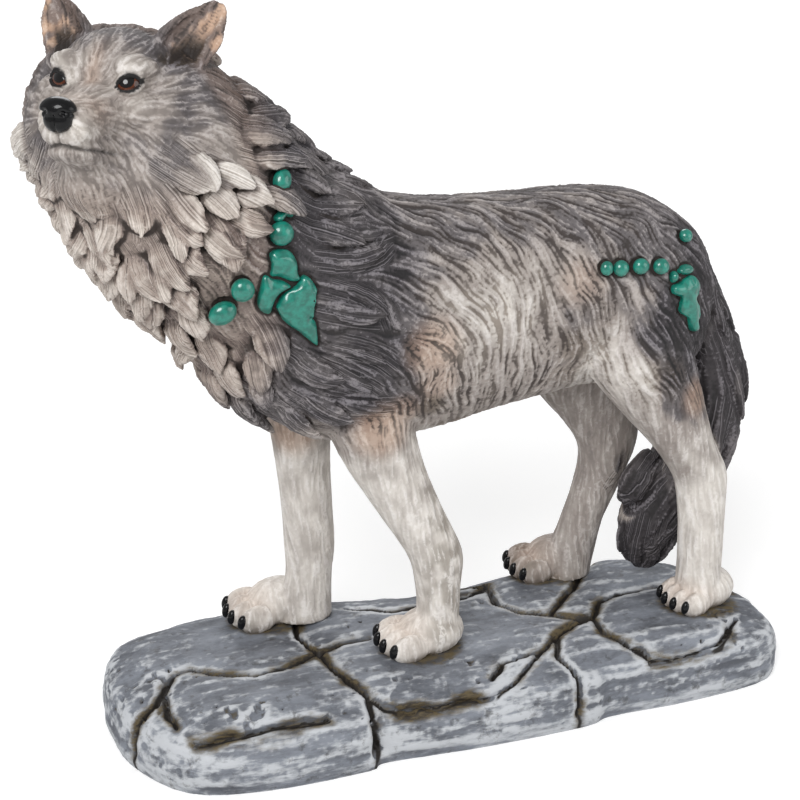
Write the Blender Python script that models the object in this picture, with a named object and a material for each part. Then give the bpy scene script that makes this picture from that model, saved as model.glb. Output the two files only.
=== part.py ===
"""A standing wolf on a slab of cracked flagstones, cast as one piece in resin and painted.

The wolf faces -X and its left side faces -Y. +Z is up, and the origin is the centre of the flat underside.
Sizes are in millimetres, and MM turns them into metres when the mesh is made. Rows of the wolf's own
shapes are measured up from the top of the slab, so the wolf stands on the slab whatever its thickness.
The rough forms are lofted and laid into each other, fused into one skin, and then thinned.
"""
import math
import random

import bmesh
import bpy
import numpy as np
from mathutils import Euler, Matrix, Vector
from mathutils.bvhtree import BVHTree

MM = 0.001

# Slab of flagstones
BASE_LENGTH = 208.0
BASE_WIDTH = 74.0
BASE_THICKNESS = 18.0
STONE_RISE = 3.5
DRAWN_SLAB = (208, 74)
CRACK_DEPTH = 3.2
CRACK_HALF_WIDTH = 1.6
STONE_ROUNDING = 4.0

# Wolf
WOLF_Y = 7.5
PAW_SINK = 0.8
WOLF_HEIGHT = 198.8
DRAWN_HEIGHT = 198.8
HEAD_AT = (-90, 2, 177)
HEAD_YAW = 56
HEAD_PITCH = 14
EYE_RADIUS = 4.0
EYE_SPACING = 16.4
NOSE_WIDTH = 9.6
EAR_THICKNESS = 2.4
CLAW_LENGTH = 6.0

# Carved fur
LOCK_WIDTH = 7.2
LOCK_LENGTH = 13.0
LOCK_THICKNESS = 5.0
LOCK_LIFT = 2.8
MANE_ROWS = 10
MANE_END = -33.0
RIDGE_WIDTH = 4.6

# Turquoise beads
NECK_BEAD = 3.3
HIP_BEAD = 2.1
BEAD_PROUD = 1.5

# Fusing and thinning the cast skin
VOXEL = 0.85
SKIN_TRIANGLES = 11800
UNDER_CUT = 3.0

# Where the grey saddle ends: how high it starts on the slab's top, where the collar is, and the tail's root
SADDLE_LOW = 112.0
COLLAR_X = -58.0
TAIL_X = 66.0
TAIL_LOW = 62.0

# Paint: colour, roughness and metallic value
PAINTS = {
    "grey_fur": ((0.30, 0.27, 0.25), 0.75, 0.0),
    "cream_fur": ((0.62, 0.55, 0.49), 0.75, 0.0),
    "grey_stone": ((0.33, 0.35, 0.38), 0.7, 0.0),
    "turquoise": ((0.03, 0.33, 0.28), 0.25, 0.0),
    "gloss_black": ((0.01, 0.01, 0.01), 0.2, 0.0),
}


def smooth_rows(rows, steps=4):
    """Rows of numbers joined by a Catmull-Rom curve with that many steps between each two."""
    rows = [np.array(row, float) for row in rows]
    ends = [2 * rows[0] - rows[1], *rows, 2 * rows[-1] - rows[-2]]
    out = []
    for before, a, b, after in zip(ends, ends[1:], ends[2:], ends[3:]):
        for i in range(steps):
            t = i / steps
            bend = 2 * before - 5 * a + 4 * b - after
            turn = 3 * a - before - 3 * b + after
            out.append(0.5 * (2 * a + (b - before) * t + bend * t**2 + turn * t**3))
    return out + [rows[-1]]


def loft(rings):
    """A closed skin through rings of points, with a face over each end."""
    shape = bmesh.new()
    loops = [[shape.verts.new(p) for p in ring] for ring in rings]
    for low, high in zip(loops, loops[1:]):
        for i in range(len(low)):
            j = (i + 1) % len(low)
            shape.faces.new((low[i], low[j], high[j], high[i]))
    for loop in (loops[0], loops[-1]):
        shape.faces.new(loop)
    bmesh.ops.recalc_face_normals(shape, faces=shape.faces)
    return shape


def ring(centre, across, up, sides=24, square=2.0):
    """An oval of points round centre, with half axes across and up; square over 2 fills its corners."""
    points = []
    for i in range(sides):
        a = math.tau * i / sides
        c, s = math.cos(a), math.sin(a)
        c = math.copysign(abs(c) ** (2 / square), c)
        s = math.copysign(abs(s) ** (2 / square), s)
        points.append(Vector(centre) + Vector(across) * c + Vector(up) * s)
    return points


def trunk(rows):
    """A loft along X from rows of x, centre y, lowest z, highest z and half width."""
    rings = []
    for x, y, low, high, half in smooth_rows(rows):
        rings.append(ring((x, y, (low + high) / 2), (0, half, 0), (0, 0, (high - low) / 2), 28, 2.2))
    return loft(rings)


def limb(rows):
    """A loft down a leg from rows of x, y, z, half length fore and aft and half width."""
    return loft([ring((x, y, z), (a, 0, 0), (0, b, 0), 20) for x, y, z, a, b in smooth_rows(rows)])


def tube(rows):
    """A loft along a line in the plane of X and Z from rows of x, y, z, half width and half height."""
    rows = smooth_rows(rows)
    rings = []
    for i, (x, y, z, half, tall) in enumerate(rows):
        along = Vector(rows[min(i + 1, len(rows) - 1)][:3] - rows[max(i - 1, 0)][:3]).normalized()
        up = along.cross(Vector((0, 1, 0))).normalized()
        rings.append(ring((x, y, z), up.cross(along) * half, up * tall))
    return loft(rings)


def snout(rows):
    """A loft straight ahead from rows of x, z, half width and half height."""
    return loft([ring((x, 0, z), (0, half, 0), (0, 0, tall), 24, 2.3) for x, z, half, tall in smooth_rows(rows)])


def ball(centre, radii, turn=(0, 0, 0)):
    """An ellipsoid with its half axes in radii, turned by degrees about X, Y and Z."""
    shape = bmesh.new()
    bmesh.ops.create_uvsphere(shape, u_segments=20, v_segments=12, radius=1)
    angles = Euler([math.radians(d) for d in turn])
    place = Matrix.LocRotScale(Vector(centre), angles, Vector(radii))
    bmesh.ops.transform(shape, matrix=place, verts=shape.verts)
    return shape


def placed(shapes, matrix):
    """The same shapes, moved by matrix."""
    for shape in shapes:
        bmesh.ops.transform(shape, matrix=matrix, verts=shape.verts)
    return shapes


def gathered(shapes):
    """One mesh that holds all the shapes, still as separate skins."""
    whole = bpy.data.meshes.new("gathered")
    all_of = bmesh.new()
    for shape in shapes:
        single = bpy.data.meshes.new("single")
        shape.to_mesh(single)
        shape.free()
        all_of.from_mesh(single)
        bpy.data.meshes.remove(single)
    all_of.to_mesh(whole)
    all_of.free()
    return whole


def modified(mesh, *modifiers):
    """The mesh after modifiers, each given as a type and its settings."""
    obj = bpy.data.objects.new("working", mesh)
    bpy.context.scene.collection.objects.link(obj)
    for kind, settings in modifiers:
        modifier = obj.modifiers.new(kind, kind)
        for name, value in settings.items():
            setattr(modifier, name, value)
    graph = bpy.context.evaluated_depsgraph_get()
    result = bpy.data.meshes.new_from_object(obj.evaluated_get(graph))
    bpy.data.objects.remove(obj)
    return result


def fused(shapes):
    """One closed skin round all the shapes, with the steps of the fusing smoothed away."""
    return modified(gathered(shapes), ("REMESH", {"mode": "VOXEL", "voxel_size": VOXEL, "adaptivity": 0.0}),
                    ("SMOOTH", {"factor": 0.5, "iterations": 2}))


def torso():
    return [trunk([
        (85, WOLF_Y, 95, 108, 5),
        (81, WOLF_Y, 84, 118, 12),
        (74, WOLF_Y, 75, 126, 17),
        (61, WOLF_Y, 73, 134, 20.5),
        (46, WOLF_Y, 77, 137, 20.5),
        (30, WOLF_Y, 75, 137.5, 19.5),
        (14, WOLF_Y, 73, 137.5, 21),
        (-2, WOLF_Y, 70, 138.5, 23),
        (-18, WOLF_Y, 69, 141.5, 25),
        (-34, WOLF_Y, 70, 148, 26.5),
        (-50, WOLF_Y, 78, 153, 25.5),
        (-64, WOLF_Y, 88, 154, 21),
        (-74, WOLF_Y, 100, 148, 13),
    ])]


def neck():
    return [tube([
        (0, WOLF_Y, 104, 15, 15),
        (-10, WOLF_Y, 106, 21, 22),
        (-24, WOLF_Y, 112, 25, 28),
        (-38, WOLF_Y, 120, 27, 30),
        (-55, WOLF_Y - 0.5, 129, 28, 31),
        (-68, WOLF_Y - 1.5, 142, 28.5, 31),
        (-77, WOLF_Y - 1.5, 154, 28, 29.5),
        (-83, WOLF_Y - 0.5, 165, 26.5, 27.5),
        (-87, WOLF_Y + 0.5, 174, 23, 24),
        (-90, WOLF_Y + 1.5, 181, 16, 17),
        (-92, WOLF_Y + 1.5, 185, 7, 7),
    ])]


def head_place():
    """From the head's own frame, with X ahead, Y to the wolf's left and Z up, to the wolf's frame."""
    turn = Matrix.Rotation(math.radians(180 + HEAD_YAW), 4, "Z") @ Matrix.Rotation(math.radians(-HEAD_PITCH), 4, "Y")
    return Matrix.Translation(HEAD_AT) @ turn


def ear(side):
    """A pointed cup, open ahead and outwards: crescents that shrink up to a round tip."""
    across = Vector((-0.25, 0.93 * side, -0.26)).normalized()
    back = Vector((-0.88, -0.25 * side, 0.1)).normalized()
    rings = []
    for x, y, z, wide, deep in smooth_rows([
        (-2, 13, 4, 8.4, 6.0),
        (-3, 14.8, 10, 8.4, 5.5),
        (-5, 17.6, 15.5, 7.8, 4.8),
        (-7, 20.4, 20, 6.0, 3.8),
        (-8.5, 22.4, 23, 3.6, 2.8),
        (-9, 23, 24.6, 1.6, 1.6),
    ]):
        centre = Vector((x, side * y, z))
        arc = [math.radians(d) for d in range(0, 181, 12)]
        outer = [centre + across * wide * math.cos(a) + back * deep * math.sin(a) for a in arc]
        hollow = max(wide - EAR_THICKNESS, 0.2), max(deep - EAR_THICKNESS, 0.1)
        inner = [centre + across * hollow[0] * math.cos(a) + back * hollow[1] * math.sin(a) for a in reversed(arc)]
        rings.append(outer + inner)
    return loft(rings)


def eye_at(side):
    return Vector((11.6, side * EYE_SPACING / 2, 2.7))


def nose_at():
    return Vector((34.2, 0, -4.4))


def head():
    shapes = [
        ball((-3, 0, 2), (19, 17, 15)),
        ball((-8, -2, -7), (13, 27.5, 25)),
        ball((-2, 0, -20), (15, 16, 14)),
        snout([(4, -2, 13.5, 11), (12, -3.5, 10.5, 9), (19, -5, 8.2, 7), (26, -6, 7.2, 6),
               (31.5, -6.5, 6.6, 5.2), (33.8, -6.5, 4, 3.5)]),
        snout([(2, -12.5, 11.5, 9), (10, -13, 9, 7.5), (18, -13.2, 7.4, 5.8), (25, -13.2, 6.2, 4.8),
               (29, -12.8, 5, 3.8), (31.5, -12.4, 2.6, 2)]),
        ball(nose_at(), (3.2, NOSE_WIDTH / 2, NOSE_WIDTH * 0.44)),
    ]
    for side in (1, -1):
        shapes += [
            ball((0, 14 * side, -8), (13, 10, 13)),
            ball((8, 10.5 * side, -3.5), (8, 6.5, 6)),
            ball((8.5, 8 * side, 7), (7, 6.5, 3.8)),
            ball(eye_at(side), (EYE_RADIUS, EYE_RADIUS, EYE_RADIUS * 0.8)),
            ear(side),
        ]
    return placed(shapes, head_place())


def toe_reach(spread):
    """The two middle toes stand ahead of the outer ones."""
    return 1.5 if abs(spread) < 1 else 0.0


def paw(x, y, yaw, size=1.0):
    """Four toes with claws in front of a heel pad, facing -X before it is turned by yaw degrees."""
    shapes = [ball((3, 0, 5), (10, 8, 7))]
    for spread in (-1.5, -0.5, 0.5, 1.5):
        ahead = -5.5 - toe_reach(spread)
        shapes.append(ball((ahead, spread * 4, 3.8), (6, 2.7, 4.4)))
        shapes.append(ball((ahead - 4.8, spread * 4.3, 3), (1.6, 1.5, CLAW_LENGTH / 2), (0, 25, 0)))
    place = Matrix.Translation((x, y, STONE_RISE - PAW_SINK)) @ Matrix.Rotation(math.radians(yaw), 4, "Z")
    return placed(shapes, place @ Matrix.Scale(size, 4))


PAWS = [(-10, -7.5, 5, 1.05), (-49, 23.5, 8, 1.05), (81, -9, 14, 0.95), (43, 24.5, 4, 1.0)]


def legs():
    shapes = [
        limb([(-26, -4, 94, 17, 9), (-25, -5, 80, 13.5, 9), (-21, -5.5, 66, 11.5, 7.5), (-13, -6, 49, 9.6, 6.8),
              (-5.5, -6.5, 34, 8.4, 6.8), (-4.5, -7, 24, 7, 6.2), (-4.5, -7, 14, 6.6, 6), (-6, -7, 4, 8, 7)]),
        limb([(-42, 17, 90, 14, 9), (-39.5, 18, 74, 10, 8), (-38.3, 19, 58, 8.4, 7), (-37.2, 19.5, 42, 7.8, 6.6),
              (-36.5, 20, 28, 7.8, 6.6), (-37, 20, 18, 7.2, 6.2), (-39, 20, 4, 9, 7)]),
        limb([(56, -3, 100, 20, 10), (57.5, -6, 88, 17.5, 10.5), (64, -8, 74, 14, 9), (72, -9, 60, 10, 7.2),
              (78.5, -9, 48, 8.6, 6.5), (80, -9, 36, 7.6, 6), (80.5, -9, 22, 7.2, 6), (80.5, -9, 12, 7.2, 6.5),
              (81, -9, 6, 7.5, 7)]),
        limb([(46, 18, 98, 19, 10), (46, 20, 84, 18, 10), (51, 21, 70, 15.5, 9), (59, 22, 56, 12.2, 7.2),
              (61.5, 22, 46, 9.4, 6.5), (58.5, 22, 34, 7.8, 6.2), (54, 22, 22, 7, 6), (50.5, 22, 10, 7.8, 6.5),
              (49, 22, 3, 8, 7)]),
    ]
    for x, y, yaw, size in PAWS:
        shapes += paw(x, y, yaw, size)
    return shapes


TAIL = [
    (66, WOLF_Y, 119, 8, 8),
    (73, WOLF_Y, 110, 9, 8.5),
    (80, WOLF_Y, 96, 10, 9),
    (86, WOLF_Y, 80, 11, 10),
    (88.5, WOLF_Y, 65, 11, 10.5),
    (85.5, WOLF_Y + 1, 50, 11, 11),
    (79, WOLF_Y + 2, 36, 10.5, 11.5),
    (73, WOLF_Y + 3, 24, 9, 10.5),
    (72, WOLF_Y + 4, 14, 6.5, 7.5),
    (73, WOLF_Y + 4, 8.5, 2.5, 3),
]


def tail():
    """The tail, with a tuft that leaves its front edge above the tip."""
    return [tube(TAIL), ball((67, WOLF_Y + 1.5, 40.5), (4.2, 5, 9.5), (0, 35, 0))]


def swell(t):
    """How full a lock is along its length: half full at the root, widest past the middle, round at the tip."""
    rise = 0.5 + 0.5 * math.sin(math.pi / 2 * min(t / 0.5, 1))
    close = math.sqrt(max(0.02, 1 - (max(t - 0.5, 0) / 0.51) ** 2.4))
    return rise * close


def lock(skin, root, flow, size, curl):
    """A tuft that leaves the skin at root, follows it along flow and lifts to a blunt tip."""
    length, width, thick, lift = size
    steps = 6
    spot, normal = skin.find_nearest(root)[:2]
    along = flow
    rings = []
    covered = 0.0
    for i in range(steps + 1):
        t = math.sin(math.pi / 2 * i / steps)
        spot, normal = skin.find_nearest(spot + along * (t - covered) * length)[:2]
        covered = t
        along = (Matrix.Rotation(curl / steps, 3, normal) @ along)
        along = (along - normal * along.dot(normal)).normalized()
        full = swell(t)
        centre = spot + normal * (lift * t - 0.3 * thick * (1 - t))
        rings.append(ring(centre, normal.cross(along) * width / 2 * full, normal * thick / 2 * full, 10))
    return loft(rings)


def mane_flow(spot):
    """Which way the fur lies: away from the muzzle and down on the neck, back along the shoulder."""
    muzzle = head_place() @ Vector((20, 0, -5))
    away = (spot - muzzle).normalized()
    shoulder = min(max((spot.x + 62) / 28, 0), 1)
    down = Vector((0, 0, -0.75 * (1 - shoulder)))
    return away * (0.8 - 0.3 * shoulder) + down + Vector((0.2 + 0.8 * shoulder, 0, 0))


def near_beads(spot, reach):
    return any((spot - bead).length < radius + reach for bead, radius in BEADS_SEEN)


BEADS_SEEN = []


def mane_locks(skin):
    """Locks in staggered rings round the neck, each root found by a ray in towards the neck's axis."""
    draw = random.Random(7)
    low, high = Vector((-22, WOLF_Y, 106)), Vector((-90, WOLF_Y - 1, 172))
    axis = (high - low).normalized()
    side = Vector((0, 1, 0))
    up = axis.cross(side)
    face = head_place().inverted()
    shapes = []
    for row in range(MANE_ROWS):
        centre = high.lerp(low, row / (MANE_ROWS - 1))
        around = 22
        for k in range(around):
            a = math.tau * (k + 0.5 * (row % 2) + draw.uniform(-0.18, 0.18)) / around
            out = side * math.cos(a) + up * math.sin(a)
            grow = draw.uniform(0.8, 1.15)
            curl = draw.uniform(-0.5, 0.5)
            spot, normal = skin.ray_cast(centre + axis * draw.uniform(-2.5, 2.5) + out * 70, -out)[:2]
            if spot is None:
                continue
            seen = face @ spot
            if seen.x > -6 and seen.z > -24 or seen.x > -17 and seen.z > 0:
                continue
            if spot.z < 84 or spot.x > MANE_END or near_beads(spot, 3.5):
                continue
            flow = mane_flow(spot)
            flow = (flow - normal * flow.dot(normal)).normalized()
            shoulder = min(max((spot.x + 62) / 28, 0), 1)
            size = (LOCK_LENGTH * grow * (1 + 0.2 * shoulder), LOCK_WIDTH * grow * (1 - 0.35 * shoulder),
                    LOCK_THICKNESS * (1 - 0.5 * shoulder), LOCK_LIFT * (1 - 0.7 * shoulder))
            if near_beads(spot + flow * size[0], 1.0):
                continue
            shapes.append(lock(skin, spot, flow, size, curl))
    return shapes


def ruff_locks(skin):
    """Rings of locks that stand out round the cheeks and under the jaw."""
    draw = random.Random(11)
    place = head_place()
    turn = place.to_3x3()
    face = place.inverted()
    shapes = []
    for ahead, first, last, count, grow in ((-1, -175, -5, 15, 0.9), (-7, -182, 2, 19, 1.0), (-13, -190, 10, 20, 1.1)):
        for k in range(count):
            a = math.radians(first + (last - first) * (k + draw.uniform(0.3, 0.7)) / count)
            out = Vector((0, math.cos(a), math.sin(a)))
            start = place @ (Vector((ahead + draw.uniform(-1.5, 1.5), 0, -6)) + out * 45)
            curl = draw.uniform(-0.4, 0.4)
            spot, normal = skin.ray_cast(start, -(turn @ out))[:2]
            if spot is None or (face @ spot).z > 0:
                continue
            flow = turn @ (Vector((-1.3, 0, 0)) + out * 0.5) + Vector((0, 0, -0.5))
            flow = (flow - normal * flow.dot(normal)).normalized()
            wide = LOCK_WIDTH * grow * draw.uniform(0.9, 1.1)
            shapes.append(lock(skin, spot, flow, (LOCK_LENGTH * grow, wide, LOCK_THICKNESS, LOCK_LIFT * 1.2), curl))
    return shapes


def tail_ridges(skin):
    """Long locks that run down the tail, side by side, and end in points at different heights."""
    draw = random.Random(5)
    rows = smooth_rows(TAIL, 2)
    shapes = []
    for i in range(2, len(rows) - 3, 3):
        centre = Vector(rows[i][:3])
        ahead = (Vector(rows[i + 1][:3]) - centre).normalized()
        side = Vector((0, 1, 0))
        back = side.cross(ahead)
        for k in range(8):
            a = math.tau * (k + 0.5 * (i % 2) + draw.uniform(-0.15, 0.15)) / 8
            out = side * math.cos(a) + back * math.sin(a)
            spot, normal = skin.ray_cast(centre + out * 24, -out)[:2]
            if spot is None or (spot - centre).length > 14:
                continue
            flow = (ahead - normal * ahead.dot(normal)).normalized()
            size = (28 * draw.uniform(0.8, 1.1), RIDGE_WIDTH, 3.2, 0.8)
            shapes.append(lock(skin, spot, flow, size, draw.uniform(-0.25, 0.25)))
    return shapes


def bead_line():
    """Beads of the collar and the hip band on the wolf's left: x, z, half length, half height, tilt."""
    collar = [
        (-51.4, 154.7, 0.55, 0.85, -10),
        (-51.4, 149.6, 0.55, 0.5, 30),
        (-52.8, 147.2, 0.5, 0.45, 0),
        (-53.2, 142.4, 1.0, 0.98, 0),
        (-54.0, 137.2, 0.7, 0.7, 0),
        (-51.5, 136.6, 0.8, 0.8, 0),
        (-53.4, 133.6, 0.85, 0.85, 0),
        (-50.6, 132.4, 0.73, 0.73, 0),
        (-48.9, 130.0, 0.37, 0.37, 0),
        (-57.3, 128.5, 0.7, 0.7, 0),
        (-54.3, 128.2, 0.56, 0.56, 0),
        (-57.9, 125.2, 0.7, 0.7, 0),
        (-57.9, 122.5, 0.56, 0.6, 0),
        (-46.7, 129.1, 0.73, 0.73, 0),
        (-49.2, 127.0, 0.6, 0.6, 0),
        (-51.5, 124.6, 0.67, 0.67, 0),
        (-52.9, 121.9, 0.58, 0.58, 0),
        (-49.8, 121.3, 0.8, 0.8, 0),
        (-47.0, 122.2, 0.67, 0.67, 0),
        (-50.1, 118.0, 0.67, 0.67, 0),
        (-46.7, 118.0, 0.73, 0.73, 0),
        (-48.1, 115.0, 0.58, 0.58, 0),
        (-45.6, 114.7, 0.58, 0.58, 0),
        (-44.7, 112.3, 0.36, 0.5, 0),
        (-64.4, 129.5, 0.95, 1.0, 10),
        (-69.0, 123.0, 1.2, 1.0, 25),
    ]
    band = [
        (43.3, 119.0, 0.9, 1.0, 0),
        (47.6, 118.6, 1.1, 1.1, 0),
        (53.7, 118.5, 1.15, 1.1, 0),
        (60.1, 117.6, 1.15, 1.1, 0),
        (65.6, 113.4, 0.85, 0.85, 0),
        (67.9, 115.4, 0.8, 0.8, 0),
        (71.2, 114.6, 0.95, 0.85, 0),
        (66.8, 110.6, 1.05, 0.9, 0),
        (70.5, 110.6, 1.0, 0.95, 0),
        (69.2, 107.0, 1.2, 1.0, 0),
        (69.4, 103.6, 1.0, 0.9, 0),
        (71.2, 99.6, 0.62, 0.95, 0),
        (70.5, 123.0, 0.95, 0.95, 0),
    ]
    rows = [(x, z, half * NECK_BEAD, tall * NECK_BEAD, tilt) for x, z, half, tall, tilt in collar]
    return rows + [(x, z, half * HIP_BEAD, tall * HIP_BEAD, tilt) for x, z, half, tall, tilt in band]


def beads(skin):
    """Beads cast on the fur of both sides, found by rays across the wolf."""
    shapes = []
    for side in (-1, 1):
        for x, z, half, tall, tilt in bead_line():
            spot, normal = skin.ray_cast(Vector((x, WOLF_Y + side * 60, z)), Vector((0, -side, 0)))[:2]
            if spot is None:
                continue
            BEADS_SEEN.append((spot, max(half, tall)))
            lean = math.degrees(math.atan2(normal.z, abs(normal.y)))
            thick = min(half, tall) * 0.8
            centre = spot + normal * (BEAD_PROUD - thick * 0.3)
            shapes.append(ball(centre, (half, thick, tall), (side * lean, -tilt, 0)))
    return shapes


def base_outline(inset):
    """The slab's rim, drawn in by inset, from points on a slab of DRAWN_SLAB."""
    rows = smooth_rows([
        (-104, 8), (-99, 27), (-80, 35), (-55, 37), (-28, 36), (0, 33), (28, 35), (62, 34), (88, 25), (101, 9),
        (104, -12), (99, -27), (72, -31.5), (44, -32), (34, -35), (0, -36), (-30, -34.5), (-36, -37), (-66, -37),
        (-88, -31), (-101, -12), (-104, 8),
    ])[:-1]
    points = []
    for x, y in rows:
        at = Vector((x * BASE_LENGTH / DRAWN_SLAB[0], y * BASE_WIDTH / DRAWN_SLAB[1]))
        points.append(at - at.normalized() * inset)
    return points


def base():
    """The slab: rings of the rim that draw in to a flat top, and run on below the cut of the underside."""
    top = BASE_THICKNESS
    levels = [(2.5, -UNDER_CUT), (1.2, 0), (0, top * 0.25), (0.3, top * 0.5), (1.5, top * 0.78), (3.5, top * 0.93),
              (7, top), (14, top + STONE_RISE * 0.7), (26, top + STONE_RISE)]
    return [loft([[Vector((p.x, p.y, z)) for p in base_outline(inset)] for inset, z in levels])]


CRACKS = [
    [(-88, 7), (-83, 4), (-75, 7), (-71, 2), (-62, -3), (-54, -4), (-44, -1), (-38, 3), (-37, 9)],
    [(-87, 4), (-90, -4), (-95, -8), (-103, -13)],
    [(-88, -6), (-88, -18)],
    [(-38, 3), (-38, -8), (-35, -17), (-30, -23), (-33, -38)],
    [(-87, -27), (-72, -30), (-66, -35)],
    [(-30, -22), (-27, -29), (-20, -27), (-16, -31), (-8, -34), (3, -35), (13, -29), (30, -14), (33, -9)],
    [(33, -9), (38, 3), (31, 8), (27, 18), (23, 29), (22, 38)],
    [(33, -9), (43, -2), (47, -6), (50, -15), (54, -25), (60, -31), (68, -33)],
    [(43, -2), (50, 1), (57, 10), (65, 10), (80, 9), (90, 6), (103, 2)],
    [(33, -9), (33, -17), (36, -26), (34, -38)],
    [(4, 5), (14, -2), (30, -10)],
    [(-38, 9), (-30, 12), (-12, 16), (-4, 24), (0, 36)],
    [(-52, 22), (-44, 26), (-40, 38)],
    [(51, 20), (46, 15), (36, 7)],
    [(76, -31), (87, -24), (93, -14), (103, -12)],
]


def crack_distance(x, y):
    """How far points of the slab lie from the nearest crack, measured in plan."""
    wide, deep = BASE_LENGTH / DRAWN_SLAB[0], BASE_WIDTH / DRAWN_SLAB[1]
    nearest = np.full(len(x), 1e9)
    for line in CRACKS:
        for (ax, ay), (bx, by) in zip(line, line[1:]):
            ax, bx, ay, by = ax * wide, bx * wide, ay * deep, by * deep
            run, rise = bx - ax, by - ay
            t = np.clip(((x - ax) * run + (y - ay) * rise) / (run**2 + rise**2), 0, 1)
            nearest = np.minimum(nearest, np.hypot(x - ax - t * run, y - ay - t * rise))
    return nearest


def cut_cracks(skin):
    """Draws the slab's skin in along the cracks, with rounded edges on the stones either side."""
    count = len(skin.vertices)
    spots = np.empty(count * 3)
    skin.vertices.foreach_get("co", spots)
    spots = spots.reshape(-1, 3)
    normals = np.empty(count * 3)
    skin.vertex_normals.foreach_get("vector", normals)
    normals = normals.reshape(-1, 3)
    slab = (spots[:, 2] < BASE_THICKNESS + STONE_RISE + 0.4) & (spots[:, 2] > 0.5)
    away = crack_distance(spots[:, 0], spots[:, 1])
    groove = np.exp(-(away / CRACK_HALF_WIDTH) ** 2) * CRACK_DEPTH
    shoulder = np.exp(-(away / STONE_ROUNDING) ** 2) * CRACK_DEPTH * 0.3
    depth = np.where(slab, np.maximum(groove, shoulder), 0)
    spots -= normals * depth[:, None]
    skin.vertices.foreach_set("co", spots.ravel())
    skin.update()


def flat_bottomed(skin):
    """The skin cut off level at the underside and closed there by one flat face."""
    shape = bmesh.new()
    shape.from_mesh(skin)
    everything = shape.verts[:] + shape.edges[:] + shape.faces[:]
    cut = bmesh.ops.bisect_plane(shape, geom=everything, plane_co=(0, 0, 0), plane_no=(0, 0, -1), clear_outer=True)
    rim = [e for e in cut["geom_cut"] if isinstance(e, bmesh.types.BMEdge)]
    bmesh.ops.contextual_create(shape, geom=rim)
    bmesh.ops.triangulate(shape, faces=[f for f in shape.faces if len(f.verts) > 4])
    bmesh.ops.recalc_face_normals(shape, faces=shape.faces)
    shape.to_mesh(skin)
    shape.free()
    return skin


def material(name):
    colour, roughness, metallic = PAINTS[name]
    paint = bpy.data.materials.new(name)
    paint.use_nodes = True
    shader = paint.node_tree.nodes["Principled BSDF"]
    shader.inputs["Base Color"].default_value = (*colour, 1)
    shader.inputs["Roughness"].default_value = roughness
    shader.inputs["Metallic"].default_value = metallic
    return paint


def paint_faces(skin):
    """Gives each face the paint of what it belongs to."""
    names = list(PAINTS)
    for name in names:
        skin.materials.append(material(name))
    lift = on_slab()
    head_lift = lift @ head_place()
    dark = [(head_lift @ nose_at(), NOSE_WIDTH * 0.55)]
    dark += [(head_lift @ (eye_at(side) + Vector((2, 0, 0))), EYE_RADIUS * 0.8) for side in (1, -1)]
    blue = [(lift @ spot, radius * 1.15) for spot, radius in BEADS_SEEN]
    for face in skin.polygons:
        centre = face.center
        above = centre.z - BASE_THICKNESS
        if above < STONE_RISE + 0.3:
            paint = "grey_stone"
        elif any((centre - spot).length < radius for spot, radius in blue):
            paint = "turquoise"
        elif any((centre - spot).length < radius for spot, radius in dark):
            paint = "gloss_black"
        elif above > SADDLE_LOW and centre.x > COLLAR_X or above > TAIL_LOW and centre.x > TAIL_X:
            paint = "grey_fur"
        else:
            paint = "cream_fur"
        face.material_index = names.index(paint)


def clear():
    for obj in list(bpy.data.objects):
        bpy.data.objects.remove(obj)


def on_slab():
    """From the wolf's own frame, as it is drawn, to the whole part's."""
    return Matrix.Translation((0, 0, BASE_THICKNESS)) @ Matrix.Scale(WOLF_HEIGHT / DRAWN_HEIGHT, 4)


def wolf():
    """The wolf's forms, with locks and beads laid on the fused skin of the plain ones."""
    plain = fused(torso() + neck() + head() + legs() + tail())
    shape = bmesh.new()
    shape.from_mesh(plain)
    skin = BVHTree.FromBMesh(shape)
    details = beads(skin) + mane_locks(skin) + ruff_locks(skin) + tail_ridges(skin)
    return placed([shape] + details, on_slab())


def main():
    clear()
    skin = fused(wolf() + base())
    cut_cracks(skin)
    triangles = sum(len(face.vertices) - 2 for face in skin.polygons)
    skin = modified(skin, ("DECIMATE", {"ratio": SKIN_TRIANGLES / triangles, "use_collapse_triangulate": True}))
    skin = flat_bottomed(skin)
    paint_faces(skin)
    skin.transform(Matrix.Scale(MM, 4))
    obj = bpy.data.objects.new("wolf_figurine", skin)
    bpy.context.scene.collection.objects.link(obj)
    obj.data.shade_smooth()


main()
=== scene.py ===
"""The painted look of the wolf figurine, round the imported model.

The wolf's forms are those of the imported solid, fused again at a finer step, with every strand of fur laid
on them as relief. Sizes are in millimetres and MM turns them into metres. The wolf faces -X, its left side
faces -Y, and the wolf's own rows are measured up from the top of the slab.
"""
import math
import random

import bmesh
import bpy
import numpy as np
from mathutils import Euler, Matrix, Vector
from mathutils.bvhtree import BVHTree
from mathutils.kdtree import KDTree


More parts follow.
